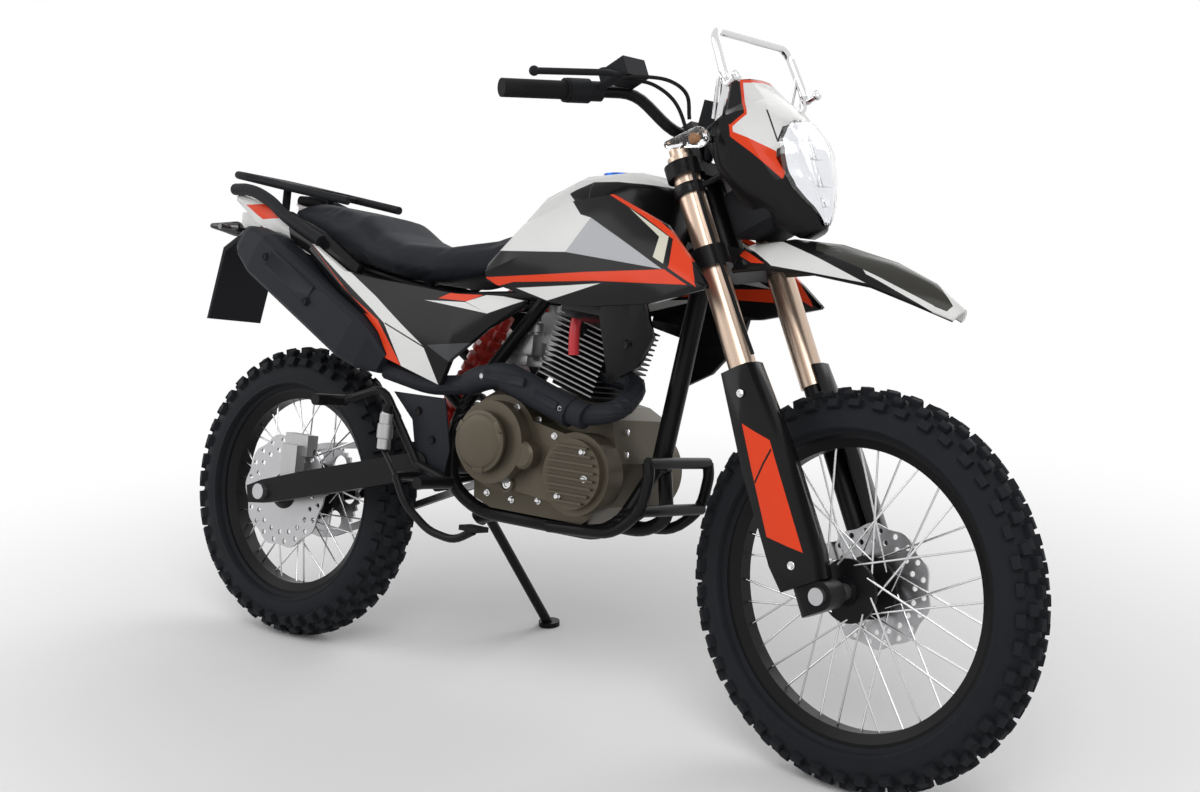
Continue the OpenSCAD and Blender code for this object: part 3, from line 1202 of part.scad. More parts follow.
// Rack frame: its origin at the rear end, x forwards along the rack
module carrier_frame() placed() translate([carrier_x, 0, carrier_z + carrier_rise])
  rotate([0, carrier_slope, 0]) children();
carrier_leg_share = 0.84;
module rear_rack() color(black) {
  carrier_frame() difference() {
    union() {
      tube([[carrier_l, carrier_w / 2 * 0.8, 0], [carrier_l * 0.6, carrier_w / 2, 0],
        [carrier_r, carrier_w / 2 * 0.84, 0],
        [carrier_r, -carrier_w / 2 * 0.84, 0], [carrier_l * 0.6, -carrier_w / 2, 0],
          [carrier_l, -carrier_w / 2 * 0.8, 0]], carrier_r);
      rod([carrier_l * 0.6, -carrier_w / 2, 0], [carrier_l * 0.6, carrier_w / 2, 0], carrier_bar_r);
      translate([carrier_l * carrier_plate_x_share - carrier_plate_l / 2, -carrier_w / 2,
        carrier_r - carrier_plate_t])
        cube([carrier_plate_l, carrier_w, carrier_plate_t]);
    }
    for (i = [0 : 3]) translate([carrier_l * carrier_plate_x_share, 0, -cut])
      rotate([0, 0, 45 + 90 * i])
      translate([rack_bolt_circle / 2, 0, -carrier_plate_t])
      cylinder(h = 3 * carrier_plate_t, r = rack_bolt_r);
  }
  rail = between(frame_at(rail_shares[2]), frame_at(rail_shares[3]), carrier_leg_share);
  fall = frame_at(rail_shares[3]) - frame_at(rail_shares[2]);
  slope = -fall[2] / fall[0];
  leg_top = carrier_z + carrier_rise - (rail[0] - carrier_x) * tan(carrier_slope) + carrier_plate_t;
  placed() both_sides() rod(rail + [0, 0,
    (rail_r + carrier_r * slope) * sqrt(1 + slope * slope) + seat_gap], [rail[0], rail[1],
    leg_top], carrier_r);
}
lamp_l = 26;
lamp_h = 30;
lamp_w_share = 0.5;
blinker_in = 20;
blinker_x = tail_block_x + blinker_in;
blinker_stalk_r = 6;
blinker_z = tail_block_z - seat_gap * 2 - blinker_stalk_r;
blinker_y = mudguard_w / 2 + seat_gap;
blinker_l = 96;
blinker_r = 17;
module rear_lamps() color("darkred") placed() {
  translate([tail_block_x - lamp_l - seat_gap, -tail_w / 2 * lamp_w_share, tail_block_z])
    cube([lamp_l, tail_w * lamp_w_share, lamp_h]);
  both_sides() {
    rod([blinker_x, blinker_y, blinker_z], [blinker_x, blinker_y + blinker_l, blinker_z],
      blinker_stalk_r);
    hull() {
      translate([blinker_x, blinker_y + blinker_l * 0.5, blinker_z]) sphere(blinker_r, $fn = 24);
      translate([blinker_x - blinker_r * 1.4, blinker_y + blinker_l,
        blinker_z]) sphere(blinker_stalk_r, $fn = 24);
    }
  }
}
flap_t = 8;
flap_back = 76;
flap_x = tail_block_x - flap_back;
// Rear mudguard from under the tail down to the flap
guard_top = tail_block_z - seat_gap;
module rear_mudguard() color(dark) placed()
  across([[flap_x, guard_top - flap_h * 0.22], [flap_x - flap_h * 0.16, guard_top - flap_h],
    [flap_x - flap_h * 0.16 + flap_t, guard_top - flap_h],
    [flap_x + flap_t, guard_top - flap_h * 0.26], [tail_block_x + flap_t, guard_top - flap_t],
      [tail_block_x + flap_h * 0.22, guard_top - flap_t],
    [tail_block_x + flap_h * 0.3, guard_top - flap_h * 0.18 - flap_t],
      [tail_block_x + flap_h * 1.1, guard_top - flap_h * 0.38 - flap_t],
    [tail_block_x + flap_h * 1.1, guard_top - flap_h * 0.38], [tail_block_x + flap_h * 0.3,
      guard_top - flap_h * 0.18],
    [tail_block_x + flap_h * 0.2, guard_top], [tail_block_x, guard_top]], -mudguard_w / 2,
      mudguard_w / 2);

// Rear end
arm_l = norm([pivot_x, pivot_z - rear_z]);
arm_slope = atan2(pivot_z - rear_z, pivot_x);
// Arm outline as shares of the arm's length and height
arm_outline_shares = [[-0.1, -0.34], [-0.1, 0.34], [0, 0.46], [0.24, 0.5], [0.88, 0.5], [1.05, 0.36],
  [1.05, -0.36], [0.88, -0.5], [0.24, -0.5], [0, -0.46]];
brace_x_share = 0.82;
brace_l = 42;
brace_h_share = 0.68;
pivot_tube_r = 20;
shock_pin_r = 6;
shock_eye_r = 16;
shock_eye_w = 24;
shock_lug_t = 8;
shock_low_z = 26;
module arm_frame() translate([0, 0, rear_z]) rotate([0, -arm_slope, 0]) children();
module swingarm() color(black) placed() arm_frame() {
  difference() {
    union() {
      for (side = [-1, 1]) across([for (p = arm_outline_shares) [arm_l * p[0], arm_h * p[1]]],
        side * arm_y - arm_w / 2, side * arm_y + arm_w / 2);
      rod([arm_l, -arm_y, 0], [arm_l, arm_y, 0], pivot_tube_r);
      translate([arm_l * brace_x_share - brace_l / 2, -arm_y, -arm_h * brace_h_share / 2])
        cube([brace_l, 2 * arm_y, arm_h * brace_h_share]);
    }
    rod([arm_l, -arm_y - arm_w, 0], [arm_l, arm_y + arm_w, 0], pivot_bolt_r + bore_gap);
    rod([0, -arm_y - arm_w, 0], [0, arm_y + arm_w, 0], rear_axle_r + bore_gap);
  }
  low = [arm_l * brace_x_share, 0, arm_h * brace_h_share / 2 + shock_low_z];
  for (side = [-1, 1]) translate(low + [-shock_eye_r,
    side * (shock_eye_w / 2 + shock_lug_t / 2 + seat_gap) - shock_lug_t / 2, -shock_low_z - cut])
    cube([2 * shock_eye_r, shock_lug_t, shock_low_z + shock_eye_r]);
  rod(low - [0, shock_eye_w / 2 + shock_lug_t, 0], low + [0, shock_eye_w / 2 + shock_lug_t, 0],
    shock_pin_r);
}
coil_count = 9;
coil_share = 0.62;
module rear_shock() color("orangered") placed() {
  reach = arm_l * brace_x_share;
  lift = arm_h * brace_h_share / 2 + shock_low_z;
  low = [cos(arm_slope) * reach - sin(arm_slope) * lift, 0,
    rear_z + sin(arm_slope) * reach + cos(arm_slope) * lift];
  high = [shock_top_shares[0] * wheelbase, 0, shock_top_shares[2] * frame_h];
  difference() {
    union() {
      rod(low, high, shock_eye_w * 0.4);
      rod(between(low, high, 0.16), between(low, high, 0.9), spring_r * 0.6);
      for (p = [low, high]) rod(p - [0, shock_eye_w / 2, 0], p + [0, shock_eye_w / 2, 0],
        shock_eye_r + (p == high ? rail_r - shock_pin_r : 0));
      for (i = [0 : coil_count - 1]) rod(between(low, high,
        0.24 + coil_share * i / coil_count), between(low, high,
        0.24 + coil_share * (i + 0.5) / coil_count), spring_r);
    }
    rod(low - [0, shock_eye_w, 0], low + [0, shock_eye_w, 0], shock_pin_r + seat_gap);
    rod(high - [0, shock_eye_w, 0], high + [0, shock_eye_w, 0], rail_r + seat_gap);
  }
}
axle_nut_r = 17;
axle_nut_t = 13;
module rear_axle() color(steel) placed() translate([0, 0, rear_z]) {
  reach = arm_y + arm_w / 2 + axle_nut_t;
  rod([0, -reach, 0], [0, reach, 0], rear_axle_r);
  for (side = [-1, 1]) {
    rod([0, side * (arm_y + arm_w / 2 + seat_gap), 0], [0, side * reach, 0], axle_nut_r);
    rod([0, side * (rear_hub_w / 2 + hub_lip + (side > 0 ? sprocket_step : disc_step) + seat_gap), 0],
      [0, side * (arm_y - arm_w / 2 - seat_gap), 0], axle_nut_r);
  }
}
rear_caliper_lead_share = 0.36;
rear_caliper_up_share = 0.86;
carrier_plate_h = 96;
module rear_caliper() color(dark) placed() {
  y = -rear_hub_w / 2 - disc_step;
  centre = [rear_disc_r * rear_caliper_lead_share, 0, rear_z + rear_disc_r * rear_caliper_up_share];
  difference() {
    translate(centre + [-caliper_h / 2, y - disc_t - caliper_out, -caliper_l / 2])
      cube([caliper_h, caliper_in + disc_t + caliper_out, caliper_l]);
    translate([0, y - disc_t - pad_gap, rear_z]) rotate([-90, 0, 0])
      cylinder(h = disc_t + 2 * pad_gap, r = rear_disc_r + pad_gap * 2);
  }
  translate(centre + [-caliper_l / 2, -arm_y + arm_w / 2 + seat_gap, -carrier_plate_h])
    cube([caliper_l, arm_y - arm_w / 2 - seat_gap + y - disc_t - caliper_out * 0.6, carrier_plate_h]);
}
link_half = 7;
chain_steps = 16;
tooth_in = 6;
roller_r = 4;
roller_count = 8;
drive_x = sprocket_x;
drive_dist = norm([drive_x, sprocket_z - rear_z]);
drive_slope = atan2(sprocket_z - rear_z, drive_x);
drive_wrap = acos((sprocket_r - drive_r) / drive_dist);
// Closed chain line at a distance d outside the links' middle line
function chain_loop(d) = concat(
  [for (i = [0 : chain_steps])
    let (a = drive_slope + drive_wrap + (360 - 2 * drive_wrap) * i / chain_steps)
    [0, rear_z] + (sprocket_r - tooth_in + d) * [cos(a), sin(a)]],
  [for (i = [0 : chain_steps]) let (a = drive_slope - drive_wrap + 2 * drive_wrap * i / chain_steps)
    [drive_x, sprocket_z] + (drive_r - tooth_in + d) * [cos(a), sin(a)]]);
module chain() color(steel) placed() {
  for (side = [-1, 1]) translate([0, chain_y + side * (link_gap + link_t / 2) + link_t / 2,
    0]) rotate([90, 0, 0]) linear_extrude(link_t) difference() {
    polygon(chain_loop(link_half));
    polygon(chain_loop(-link_half));
  }
  for (turn = [-1, 1]) for (i = [1 : roller_count]) {
    a = drive_slope + turn * drive_wrap;
    p = between([0, rear_z] + (sprocket_r - tooth_in) * [cos(a), sin(a)], [drive_x,
      sprocket_z] + (drive_r - tooth_in) * [cos(a), sin(a)], 0.12 + 0.76 * i / (roller_count + 1));
    rod([p[0], chain_y - link_gap - link_t / 2, p[1]], [p[0], chain_y + link_gap + link_t / 2,
      p[1]], roller_r);
  }
}
peg_x = 572;
peg_z = 426;
peg_l = 96;
peg_r = 12;
peg_in = 156;
pillion_x = 272;
pillion_z = 556;
bracket_r = 9;
peg_plate_r = 24;
module foot_pegs() color(black) placed() both_sides() {
  plate = [pivot_x, plate_y + pivot_plate_t + seat_gap, pivot_z];
  rod(plate, plate + [0, bracket_r, 0], peg_plate_r);
  tube([plate + [0, bracket_r, 0], [peg_x, peg_in, peg_z], [peg_x, peg_in + peg_l, peg_z]], bracket_r);
  rod([peg_x, peg_in, peg_z], [peg_x, peg_in + peg_l, peg_z], peg_r);
  tube([plate + [0, bracket_r, 0], [pillion_x + peg_l, peg_in, pillion_z + peg_r * 3], [pillion_x,
    peg_in + peg_r, pillion_z], [pillion_x, peg_in + peg_l, pillion_z]], bracket_r);
  rod([pillion_x, peg_in + peg_r, pillion_z], [pillion_x, peg_in + peg_l, pillion_z], peg_r);
}
pedal_y = 206;
pedal_r = 8;
pedal_pad_l = 44;
pedal_pad_w = 36;
pedal_pad_t = 10;
pump_r = 11;
pump_l = 92;
pump_y = 178;
// Pedal run as shares of the peg's place and height
pedal_shares = [[0.825, 1.0], [0.88, 0.88], [1.0, 0.78], [1.12, 0.76], [1.2, 0.82]];
module brake_pedal() color(black) placed() {
  run = [for (p = pedal_shares) [peg_x * p[0], -pedal_y, peg_z * p[1]]];
  tube(run, pedal_r);
  rod(run[0], [run[0][0], -plate_y - pivot_plate_t - bracket_r - 2 * seat_gap,
    run[0][2]], pedal_r);
  translate(run[4] - [pedal_pad_l / 2, pedal_pad_w / 2, 0])
    cube([pedal_pad_l, pedal_pad_w, pedal_pad_t]);
  rod([pivot_x - pump_l * 0.7, -pump_y, pivot_z + pump_l * 0.2], [pivot_x - pump_l * 0.7, -pump_y,
    pivot_z + pump_l * 1.2], pump_r);
  rod([pivot_x - pump_l * 0.7, -pump_y, pivot_z + pump_l * 0.2], run[0], bracket_r * 0.5);
}
gear_x_share = 0.2;
gear_z_share = 0.2;
gear_l = 150;
gear_y = 178;
module gear_lever() color(steel) placed() {
  shaft = case_at([gear_x_share, gear_z_share]);
  rod([shaft[0], case_w / 2 + seat_gap, shaft[1]], [shaft[0], gear_y, shaft[1]], pedal_r);
  tube([[shaft[0], gear_y, shaft[1]], [shaft[0] + gear_l, gear_y, shaft[1]], [shaft[0] + gear_l,
    gear_y + peg_l / 2, shaft[1]]], pedal_r);
}

frame();
engine_case();
clutch_cover();
cylinder_barrel();
carburettor();
exhaust_header();
silencer();
engine_guard();
fuel_tank();
fuel_cap();
tank_shrouds();
seat();
side_panels();
tail_fairing();
rear_rack();
rear_lamps();
rear_mudguard();
swingarm();
rear_axle();
rear_shock();
rear_caliper();
chain();
foot_pegs();
brake_pedal();
gear_lever();
fork_clamps();
fork_tubes();
fork_lowers();
fork_guards();
front_axle();
front_caliper();
handlebar();
grips();
controls();
instruments();
headlight_mask();
headlight_lens();
front_fender();
accessory_rack();
front_signals();
front_tyre();
front_rim();
front_hub();
front_spokes();
front_disc();
rear_tyre();
rear_rim();
rear_hub();
rear_spokes();
rear_disc();
rear_sprocket();
side_stand();
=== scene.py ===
"""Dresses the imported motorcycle: finishes and graphics, knobbly tyres, seat, panels, engine and cables."""
import logging
import math
from dataclasses import dataclass
from enum import Enum
from typing import Callable, Optional, Sequence

import bpy
from mathutils import Matrix, Vector


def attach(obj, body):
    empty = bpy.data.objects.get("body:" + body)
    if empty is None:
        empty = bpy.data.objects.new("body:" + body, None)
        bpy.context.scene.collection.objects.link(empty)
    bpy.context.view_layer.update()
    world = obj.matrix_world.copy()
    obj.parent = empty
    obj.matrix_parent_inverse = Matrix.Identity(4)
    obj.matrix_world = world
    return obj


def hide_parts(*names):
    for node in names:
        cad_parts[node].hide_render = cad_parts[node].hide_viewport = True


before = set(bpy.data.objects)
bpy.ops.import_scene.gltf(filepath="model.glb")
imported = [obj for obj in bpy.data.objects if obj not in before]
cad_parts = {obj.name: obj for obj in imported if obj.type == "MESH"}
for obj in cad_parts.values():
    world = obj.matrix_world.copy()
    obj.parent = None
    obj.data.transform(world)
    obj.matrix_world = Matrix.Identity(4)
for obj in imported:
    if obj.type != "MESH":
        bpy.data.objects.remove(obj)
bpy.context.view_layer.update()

LOG = logging.getLogger("motorcycle")
MM = 0.001
Colour = tuple[float, float, float]
Corner = tuple[float, float]
Point = tuple[float, float, float]
Outline = Sequence[Corner]
Path = Sequence[Point]
Piece = bpy.types.Object
Socket = bpy.types.NodeSocket

RED: Colour = (0.80, 0.062, 0.018)
WHITE: Colour = (0.80, 0.80, 0.79)
SILVER: Colour = (0.47, 0.48, 0.50)
CREAM: Colour = (0.72, 0.70, 0.58)
BLACK: Colour = (0.010, 0.010, 0.011)
GREY: Colour = (0.07, 0.072, 0.075)
STRIP: Colour = (0.045, 0.044, 0.038)

SIDES = (-1, 1)
UPWARDS: Point = (0.0, 0.0, 1.0)
DOWNWARDS: Point = (0.0, 0.0, -1.0)
FORWARDS: Point = (1.0, 0.0, 0.0)
TO_RIGHT: Point = (0.0, -1.0, 0.0)


def rotation(degrees: float, axis: str) -> Matrix:
    """Turn by an angle about an axis."""
    return Matrix.Rotation(math.radians(degrees), 4, axis)


def at(place: Sequence[float]) -> Matrix:
    """Move to a place in millimetres."""
    return Matrix.Translation(Vector(place) * MM)


# Turns of a piece's z: none, to the bike's right and to its left.
UNTURNED = Matrix()
RIGHTWARDS = rotation(90.0, "X")
LEFTWARDS = rotation(-90.0, "X")


@dataclass(frozen=True)
class Layout:
    """Where the bike stands: upright frame, steering head frame and wheel frames, in metres."""

    lean: float = 12.0
    rake: float = 26.0
    steer: float = -7.0
    middle: Point = (0.7125, 0.2439773, 0.0)
    foot: Point = (1.3451736, 0.0, 0.3269953)
    axle_ahead: float = 0.061
    rear_height: float = 0.3273404

    def placed(self) -> Matrix:
        """Frame of the upright bike, with the rear axle's ground point as its origin."""
        return Matrix.Translation(-Vector(self.middle)) @ rotation(-self.lean, "X")

    def steered(self) -> Matrix:
        """Frame of the turned fork: x ahead of the steering axis, z up along it."""
        head = self.placed() @ Matrix.Translation(Vector(self.foot))
        return head @ rotation(-self.rake, "Y") @ rotation(self.steer, "Z")

    def front_wheel(self) -> Matrix:
        """Frame of the front wheel, its z along the axle."""
        axle = self.steered() @ Matrix.Translation((self.axle_ahead, 0.0, 0.0))
        return axle @ RIGHTWARDS

    def rear_wheel(self) -> Matrix:
        """Frame of the rear wheel, its z along the axle."""
        axle = self.placed() @ Matrix.Translation((0.0, 0.0, self.rear_height))
        return axle @ RIGHTWARDS


LAYOUT = Layout()


def up(x: float, y: float, z: float) -> Vector:
    """Point of the upright bike in millimetres, as a point of the model in metres."""
    return LAYOUT.placed() @ (Vector((x, y, z)) * MM)


def turned(x: float, y: float, z: float) -> Vector:
    """Point of the turned fork in millimetres, as a point of the model in metres."""
    return LAYOUT.steered() @ (Vector((x, y, z)) * MM)


def on_bike(place: Sequence[float], lay: Matrix = UNTURNED) -> Matrix:
    """Place on the upright bike in millimetres, and how a piece lies there."""
    return LAYOUT.placed() @ at(place) @ lay


def on_fork(place: Sequence[float], lay: Matrix = UNTURNED) -> Matrix:
    """Place on the turned fork in millimetres, and how a piece lies there."""
    return LAYOUT.steered() @ at(place) @ lay


def flow(path: Sequence[Vector], per_span: int) -> list[Vector]:
    """Smooth line through points.

    Args:
        path: points that the line passes.
        per_span: steps from one point to the next.

    Returns:
        The line's points.
    """
    ends = [path[0] * 2 - path[1], *path, path[-1] * 2 - path[-2]]
    line = []
    for a, b, c, d in zip(ends, ends[1:], ends[2:], ends[3:]):
        for i in range(per_span):
            t = i / per_span
            line.append(0.5 * (2 * b + (c - a) * t + (2 * a - 5 * b + 4 * c - d) * t ** 2
                               + (3 * b - a - 3 * c + d) * t ** 3))
    return [*line, path[-1]]


class Body(Enum):
    """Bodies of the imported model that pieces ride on."""

    CHASSIS = "chassis"
    FORK = "fork"
    FRONT_WHEEL = "front_wheel"
    REAR_WHEEL = "rear_wheel"


class Axes(Enum):
    """Directions, along and up, that a graphic is drawn on in its panel's frame."""

    SIDE = ((1.0, 0.0, 0.0), (0.0, 0.0, 1.0))
    REAR = ((0.0, 1.0, 0.0), (0.0, 0.0, 1.0))
    OBLIQUE = ((0.6902, -0.67657, -0.25666), (0.34356, -0.00578, 0.93911))


class Graph:
    """Short calls for adding and joining the nodes of one tree."""

    def __init__(self, tree: bpy.types.NodeTree) -> None:
        """Keep the tree that the nodes go into.

        Args:
            tree: node tree of a material or a group.
        """
        self.tree = tree

    def add(self, kind: str, **values: object) -> bpy.types.Node:
        """Add one node and set its properties.

        Args:
            kind: the node's type name.
            values: properties of the node.

        Returns:
            The new node.
        """
        node = self.tree.nodes.new(kind)
        for name, value in values.items():
            setattr(node, name, value)
        return node

    def join(self, source: Socket, target: Socket) -> None:
        """Link an output to an input."""
        self.tree.links.new(source, target)

    def feed(self, target: Socket, value: object) -> None:
        """Link an output to an input, or set the input.

        Args:
            target: the input.
            value: a socket, a number, a vector or a colour.
        """
        if isinstance(value, Socket):
            self.join(value, target)
        else:
            target.default_value = (*value, 1.0) if target.type == "RGBA" else value

    def sums(self, operation: str, a: object, b: object = 0.0, clamp: bool = False) -> Socket:
        """Add a Math node.

        Args:
            operation: the Math operation.
            a: first socket or number.
            b: second socket or number.
            clamp: whether the result is held between 0 and 1.

        Returns:
            The result's socket.
        """
        node = self.add("ShaderNodeMath", operation=operation, use_clamp=clamp)
        self.feed(node.inputs[0], a)
        self.feed(node.inputs[1], b)
        return node.outputs[0]

    def mix(self, mask: Socket, a: object, b: object) -> Socket:
        """Mix two colours by a mask.

        Args:
            mask: the share of the second colour.
            a: socket or colour where the mask is 0.
            b: socket or colour where the mask is 1.

        Returns:
            The mixed colour's socket.
        """
        node = self.add("ShaderNodeMix", data_type="RGBA")
        for index, value in ((0, mask), (6, a), (7, b)):
            self.feed(node.inputs[index], value)
        return node.outputs[2]


class Groups:
    """Shared effects, each a node group that is built once."""

    EDGES = 4
    BROAD_SCALE = 22.0
    made: dict[str, bpy.types.NodeTree] = {}

    @classmethod
    def start(cls, name: str, inputs: Sequence[tuple[str, str]], outputs: Sequence[tuple[str, str]]) -> Graph:
        """Make an empty group with its sockets.

        Args:
            name: the group's name.
            inputs: name and socket type of each input.
            outputs: name and socket type of each output.

        Returns:
            The graph of the new group.
        """
        tree = bpy.data.node_groups.new(name, "ShaderNodeTree")
        for label, kind in inputs:
            tree.interface.new_socket(name=label, in_out="INPUT", socket_type=kind)
        for label, kind in outputs:
            tree.interface.new_socket(name=label, in_out="OUTPUT", socket_type=kind)
        cls.made[name] = tree
        return Graph(tree)

    @classmethod
    def cornered_area(cls) -> bpy.types.NodeTree:
        """Mask of an area with up to four straight edges.

        Returns:
            The group.
        """
        if "CorneredArea" in cls.made:
            return cls.made["CorneredArea"]
        labels = [("Place", "NodeSocketVector")]
        labels += [(f"Edge {i + 1}", "NodeSocketVector") for i in range(cls.EDGES)]
        graph = cls.start("CorneredArea", labels, [("Mask", "NodeSocketFloat")])
        given, result = graph.add("NodeGroupInput"), graph.add("NodeGroupOutput")
        least: Optional[Socket] = None
        for i in range(cls.EDGES):
            dot = graph.add("ShaderNodeVectorMath", operation="DOT_PRODUCT")
            graph.join(given.outputs[0], dot.inputs[0])
            graph.join(given.outputs[i + 1], dot.inputs[1])
            inside = dot.outputs["Value"]
            least = inside if least is None else graph.sums("MINIMUM", least, inside)
        graph.join(graph.sums("ADD", least, 0.5, clamp=True), result.inputs[0])
        return cls.made["CorneredArea"]

    @classmethod
    def fine_surface(cls) -> bpy.types.NodeTree:
        """Small variation of a finish: shade, gloss and fine relief.

        Returns:
            The group.
        """
        if "FineSurface" in cls.made:
            return cls.made["FineSurface"]
        number = "NodeSocketFloat"
        graph = cls.start("FineSurface", [
            ("Place", "NodeSocketVector"), ("Scale", number), ("Mottle", number),
            ("Gloss low", number), ("Gloss high", number)],
            [("Shade", number), ("Roughness", number), ("Height", number)])
        given, result = graph.add("NodeGroupInput"), graph.add("NodeGroupOutput")
        fine, broad = graph.add("ShaderNodeTexNoise"), graph.add("ShaderNodeTexNoise")
        for noise, scale, detail in ((fine, given.outputs["Scale"], 4.0), (broad, cls.BROAD_SCALE, 3.0)):
            for label, value in (("Vector", given.outputs["Place"]), ("Scale", scale), ("Detail", detail)):
                graph.feed(noise.inputs[label], value)
        swing = graph.sums("SUBTRACT", broad.outputs[0], 0.5)
        graph.join(graph.sums("ADD", graph.sums("MULTIPLY", swing, given.outputs["Mottle"]), 1.0), result.inputs[0])
        span = graph.sums("SUBTRACT", given.outputs["Gloss high"], given.outputs["Gloss low"])
        graph.join(graph.sums("ADD", graph.sums("MULTIPLY", fine.outputs[0], span), given.outputs["Gloss low"]),
                   result.inputs[1])
        graph.join(fine.outputs[0], result.inputs[2])
        return cls.made["FineSurface"]


@dataclass(frozen=True)
class Graphic:
    """One painted area with three or four straight edges, in millimetres of its panel's frame."""

    ALWAYS_INSIDE = (0.0, 0.0, 1000.0)

    corners: Outline
    colour: Colour
    axes: Axes = Axes.SIDE
    soft: float = 0.0007

    def edges(self) -> list[Vector]:
        """Edge lines that point inwards, one vector each.

        Returns:
            Four vectors; the spare of a triangle is one that is always inside.
        """
        points = [Vector(c) * MM for c in self.corners]
        centre = sum(points, Vector((0.0, 0.0))) / len(points)
        lines = []
        for p, q in zip(points, points[1:] + points[:1]):
            run = (q - p).normalized()
            inward = Vector((-run.y, run.x))
            if inward.dot(centre - p) < 0.0:
                inward = -inward
            lines.append(Vector((inward.x, inward.y, -inward.dot(p))) / self.soft)
        lines += [Vector(self.ALWAYS_INSIDE)] * (Groups.EDGES - len(lines))
        return lines


@dataclass(frozen=True)
class Finish:
    """A surface finish with fine variation, and graphics where it has any."""

    BUMP_HEIGHT = 0.0006
    SIDEWAYS = 0.75

    name: str
    colour: Colour
    roughness: tuple[float, float] = (0.3, 0.42)
    metallic: float = 0.0
    coat: float = 0.0
    coat_roughness: float = 0.06
    scale: float = 900.0
    mottle: float = 0.18
    relief: float = 0.04
    transmission: float = 0.0
    specular: float = 0.5
    graphics: Sequence[Graphic] = ()
    local: Optional[Matrix] = None
    rim: Optional[Colour] = None
    rim_from: float = 0.0

    def build(self) -> bpy.types.Material:
        """Make the material.

        Returns:
            The material, with its own copy of the shared groups' values.
        """
        material = bpy.data.materials.new(self.name)
        material.use_nodes = True
        graph = Graph(material.node_tree)
        shader = material.node_tree.nodes["Principled BSDF"]
        place = graph.add("ShaderNodeTexCoord").outputs["Object"]
        surface = graph.add("ShaderNodeGroup", node_tree=Groups.fine_surface())
        graph.join(place, surface.inputs["Place"])
        values = (self.scale, self.mottle, *self.roughness)
        for label, value in zip(("Scale", "Mottle", "Gloss low", "Gloss high"), values):
            graph.feed(surface.inputs[label], value)
        paint = self.paint(graph, place)
        if self.mottle:
            shade = graph.add("ShaderNodeVectorMath", operation="SCALE")
            graph.feed(shade.inputs[0], paint)
            graph.join(surface.outputs["Shade"], shade.inputs["Scale"])
            paint = shade.outputs[0]
        if self.relief:
            bump = graph.add("ShaderNodeBump")
            graph.feed(bump.inputs["Strength"], self.relief)
            graph.feed(bump.inputs["Distance"], self.BUMP_HEIGHT)
            graph.join(surface.outputs["Height"], bump.inputs["Height"])
            graph.join(bump.outputs[0], shader.inputs["Normal"])
        for label, value in (("Base Color", paint), ("Roughness", surface.outputs["Roughness"]),
                             ("Metallic", self.metallic), ("Coat Weight", self.coat),
                             ("Coat Roughness", self.coat_roughness),
                             ("Transmission Weight", self.transmission), ("Specular IOR Level", self.specular)):
            graph.feed(shader.inputs[label], value)
        return material

    def paint(self, graph: Graph, place: Socket) -> object:
        """Lay the graphics over the base colour.

        Args:
            graph: the material's graph.
            place: the Object coordinates.

        Returns:
            The base colour, or a socket of the painted colour.
        """
        if self.local is None:
            return self.colour
        back = self.local.inverted()
        local = graph.add("ShaderNodeMapping")
        for label, value in (("Location", back.to_translation()), ("Rotation", back.to_euler()), ("Vector", place)):
            graph.feed(local.inputs[label], value)
        parts = graph.add("ShaderNodeSeparateXYZ")
        graph.join(local.outputs[0], parts.inputs[0])
        across = graph.sums("ABSOLUTE", parts.outputs["Y"])
        folded = graph.add("ShaderNodeCombineXYZ")
        for source, socket in zip((parts.outputs["X"], across, parts.outputs["Z"]), folded.inputs):
            graph.join(source, socket)
        flats: dict[Axes, Socket] = {}
        paint: object = self.colour
        for graphic in self.graphics:
            if graphic.axes not in flats:
                flat = graph.add("ShaderNodeCombineXYZ")
                for axis, socket in zip(graphic.axes.value, flat.inputs):
                    dot = graph.add("ShaderNodeVectorMath", operation="DOT_PRODUCT")
                    graph.join(folded.outputs[0], dot.inputs[0])
                    dot.inputs[1].default_value = axis
                    graph.join(dot.outputs["Value"], socket)
                flat.inputs[2].default_value = 1.0
                flats[graphic.axes] = flat.outputs[0]
            area = graph.add("ShaderNodeGroup", node_tree=Groups.cornered_area())
            graph.join(flats[graphic.axes], area.inputs["Place"])
            for i, edge in enumerate(graphic.edges()):
                area.inputs[i + 1].default_value = edge
            paint = graph.mix(area.outputs["Mask"], paint, graphic.colour)
        if self.rim is not None:
            paint = graph.mix(self.machined(graph, across), paint, self.rim)
        return paint

    def machined(self, graph: Graph, across: Socket) -> Socket:
        """Mask of the faces that look sideways beyond a distance from the middle.

        Args:
            graph: the material's graph.
            across: distance from the middle of the local frame.

        Returns:
            The mask's socket.
        """
        facing = graph.add("ShaderNodeVectorMath", operation="DOT_PRODUCT")
        graph.join(graph.add("ShaderNodeTexCoord").outputs["Normal"], facing.inputs[0])
        facing.inputs[1].default_value = self.local.to_3x3() @ -Vector(TO_RIGHT)
        side = graph.sums("GREATER_THAN", graph.sums("ABSOLUTE", facing.outputs["Value"]), self.SIDEWAYS)
        return graph.sums("MULTIPLY", side, graph.sums("GREATER_THAN", across, self.rim_from))


def areas(axes: Axes, *rows: tuple[object, ...]) -> tuple[Graphic, ...]:
    """Graphics from rows of a colour and its corners."""
    return tuple(Graphic(corners, colour, axes) for colour, *corners in rows)


GLOSS = {"roughness": (0.16, 0.22), "specular": 0.14, "scale": 260.0, "mottle": 0.05, "relief": 0.006}

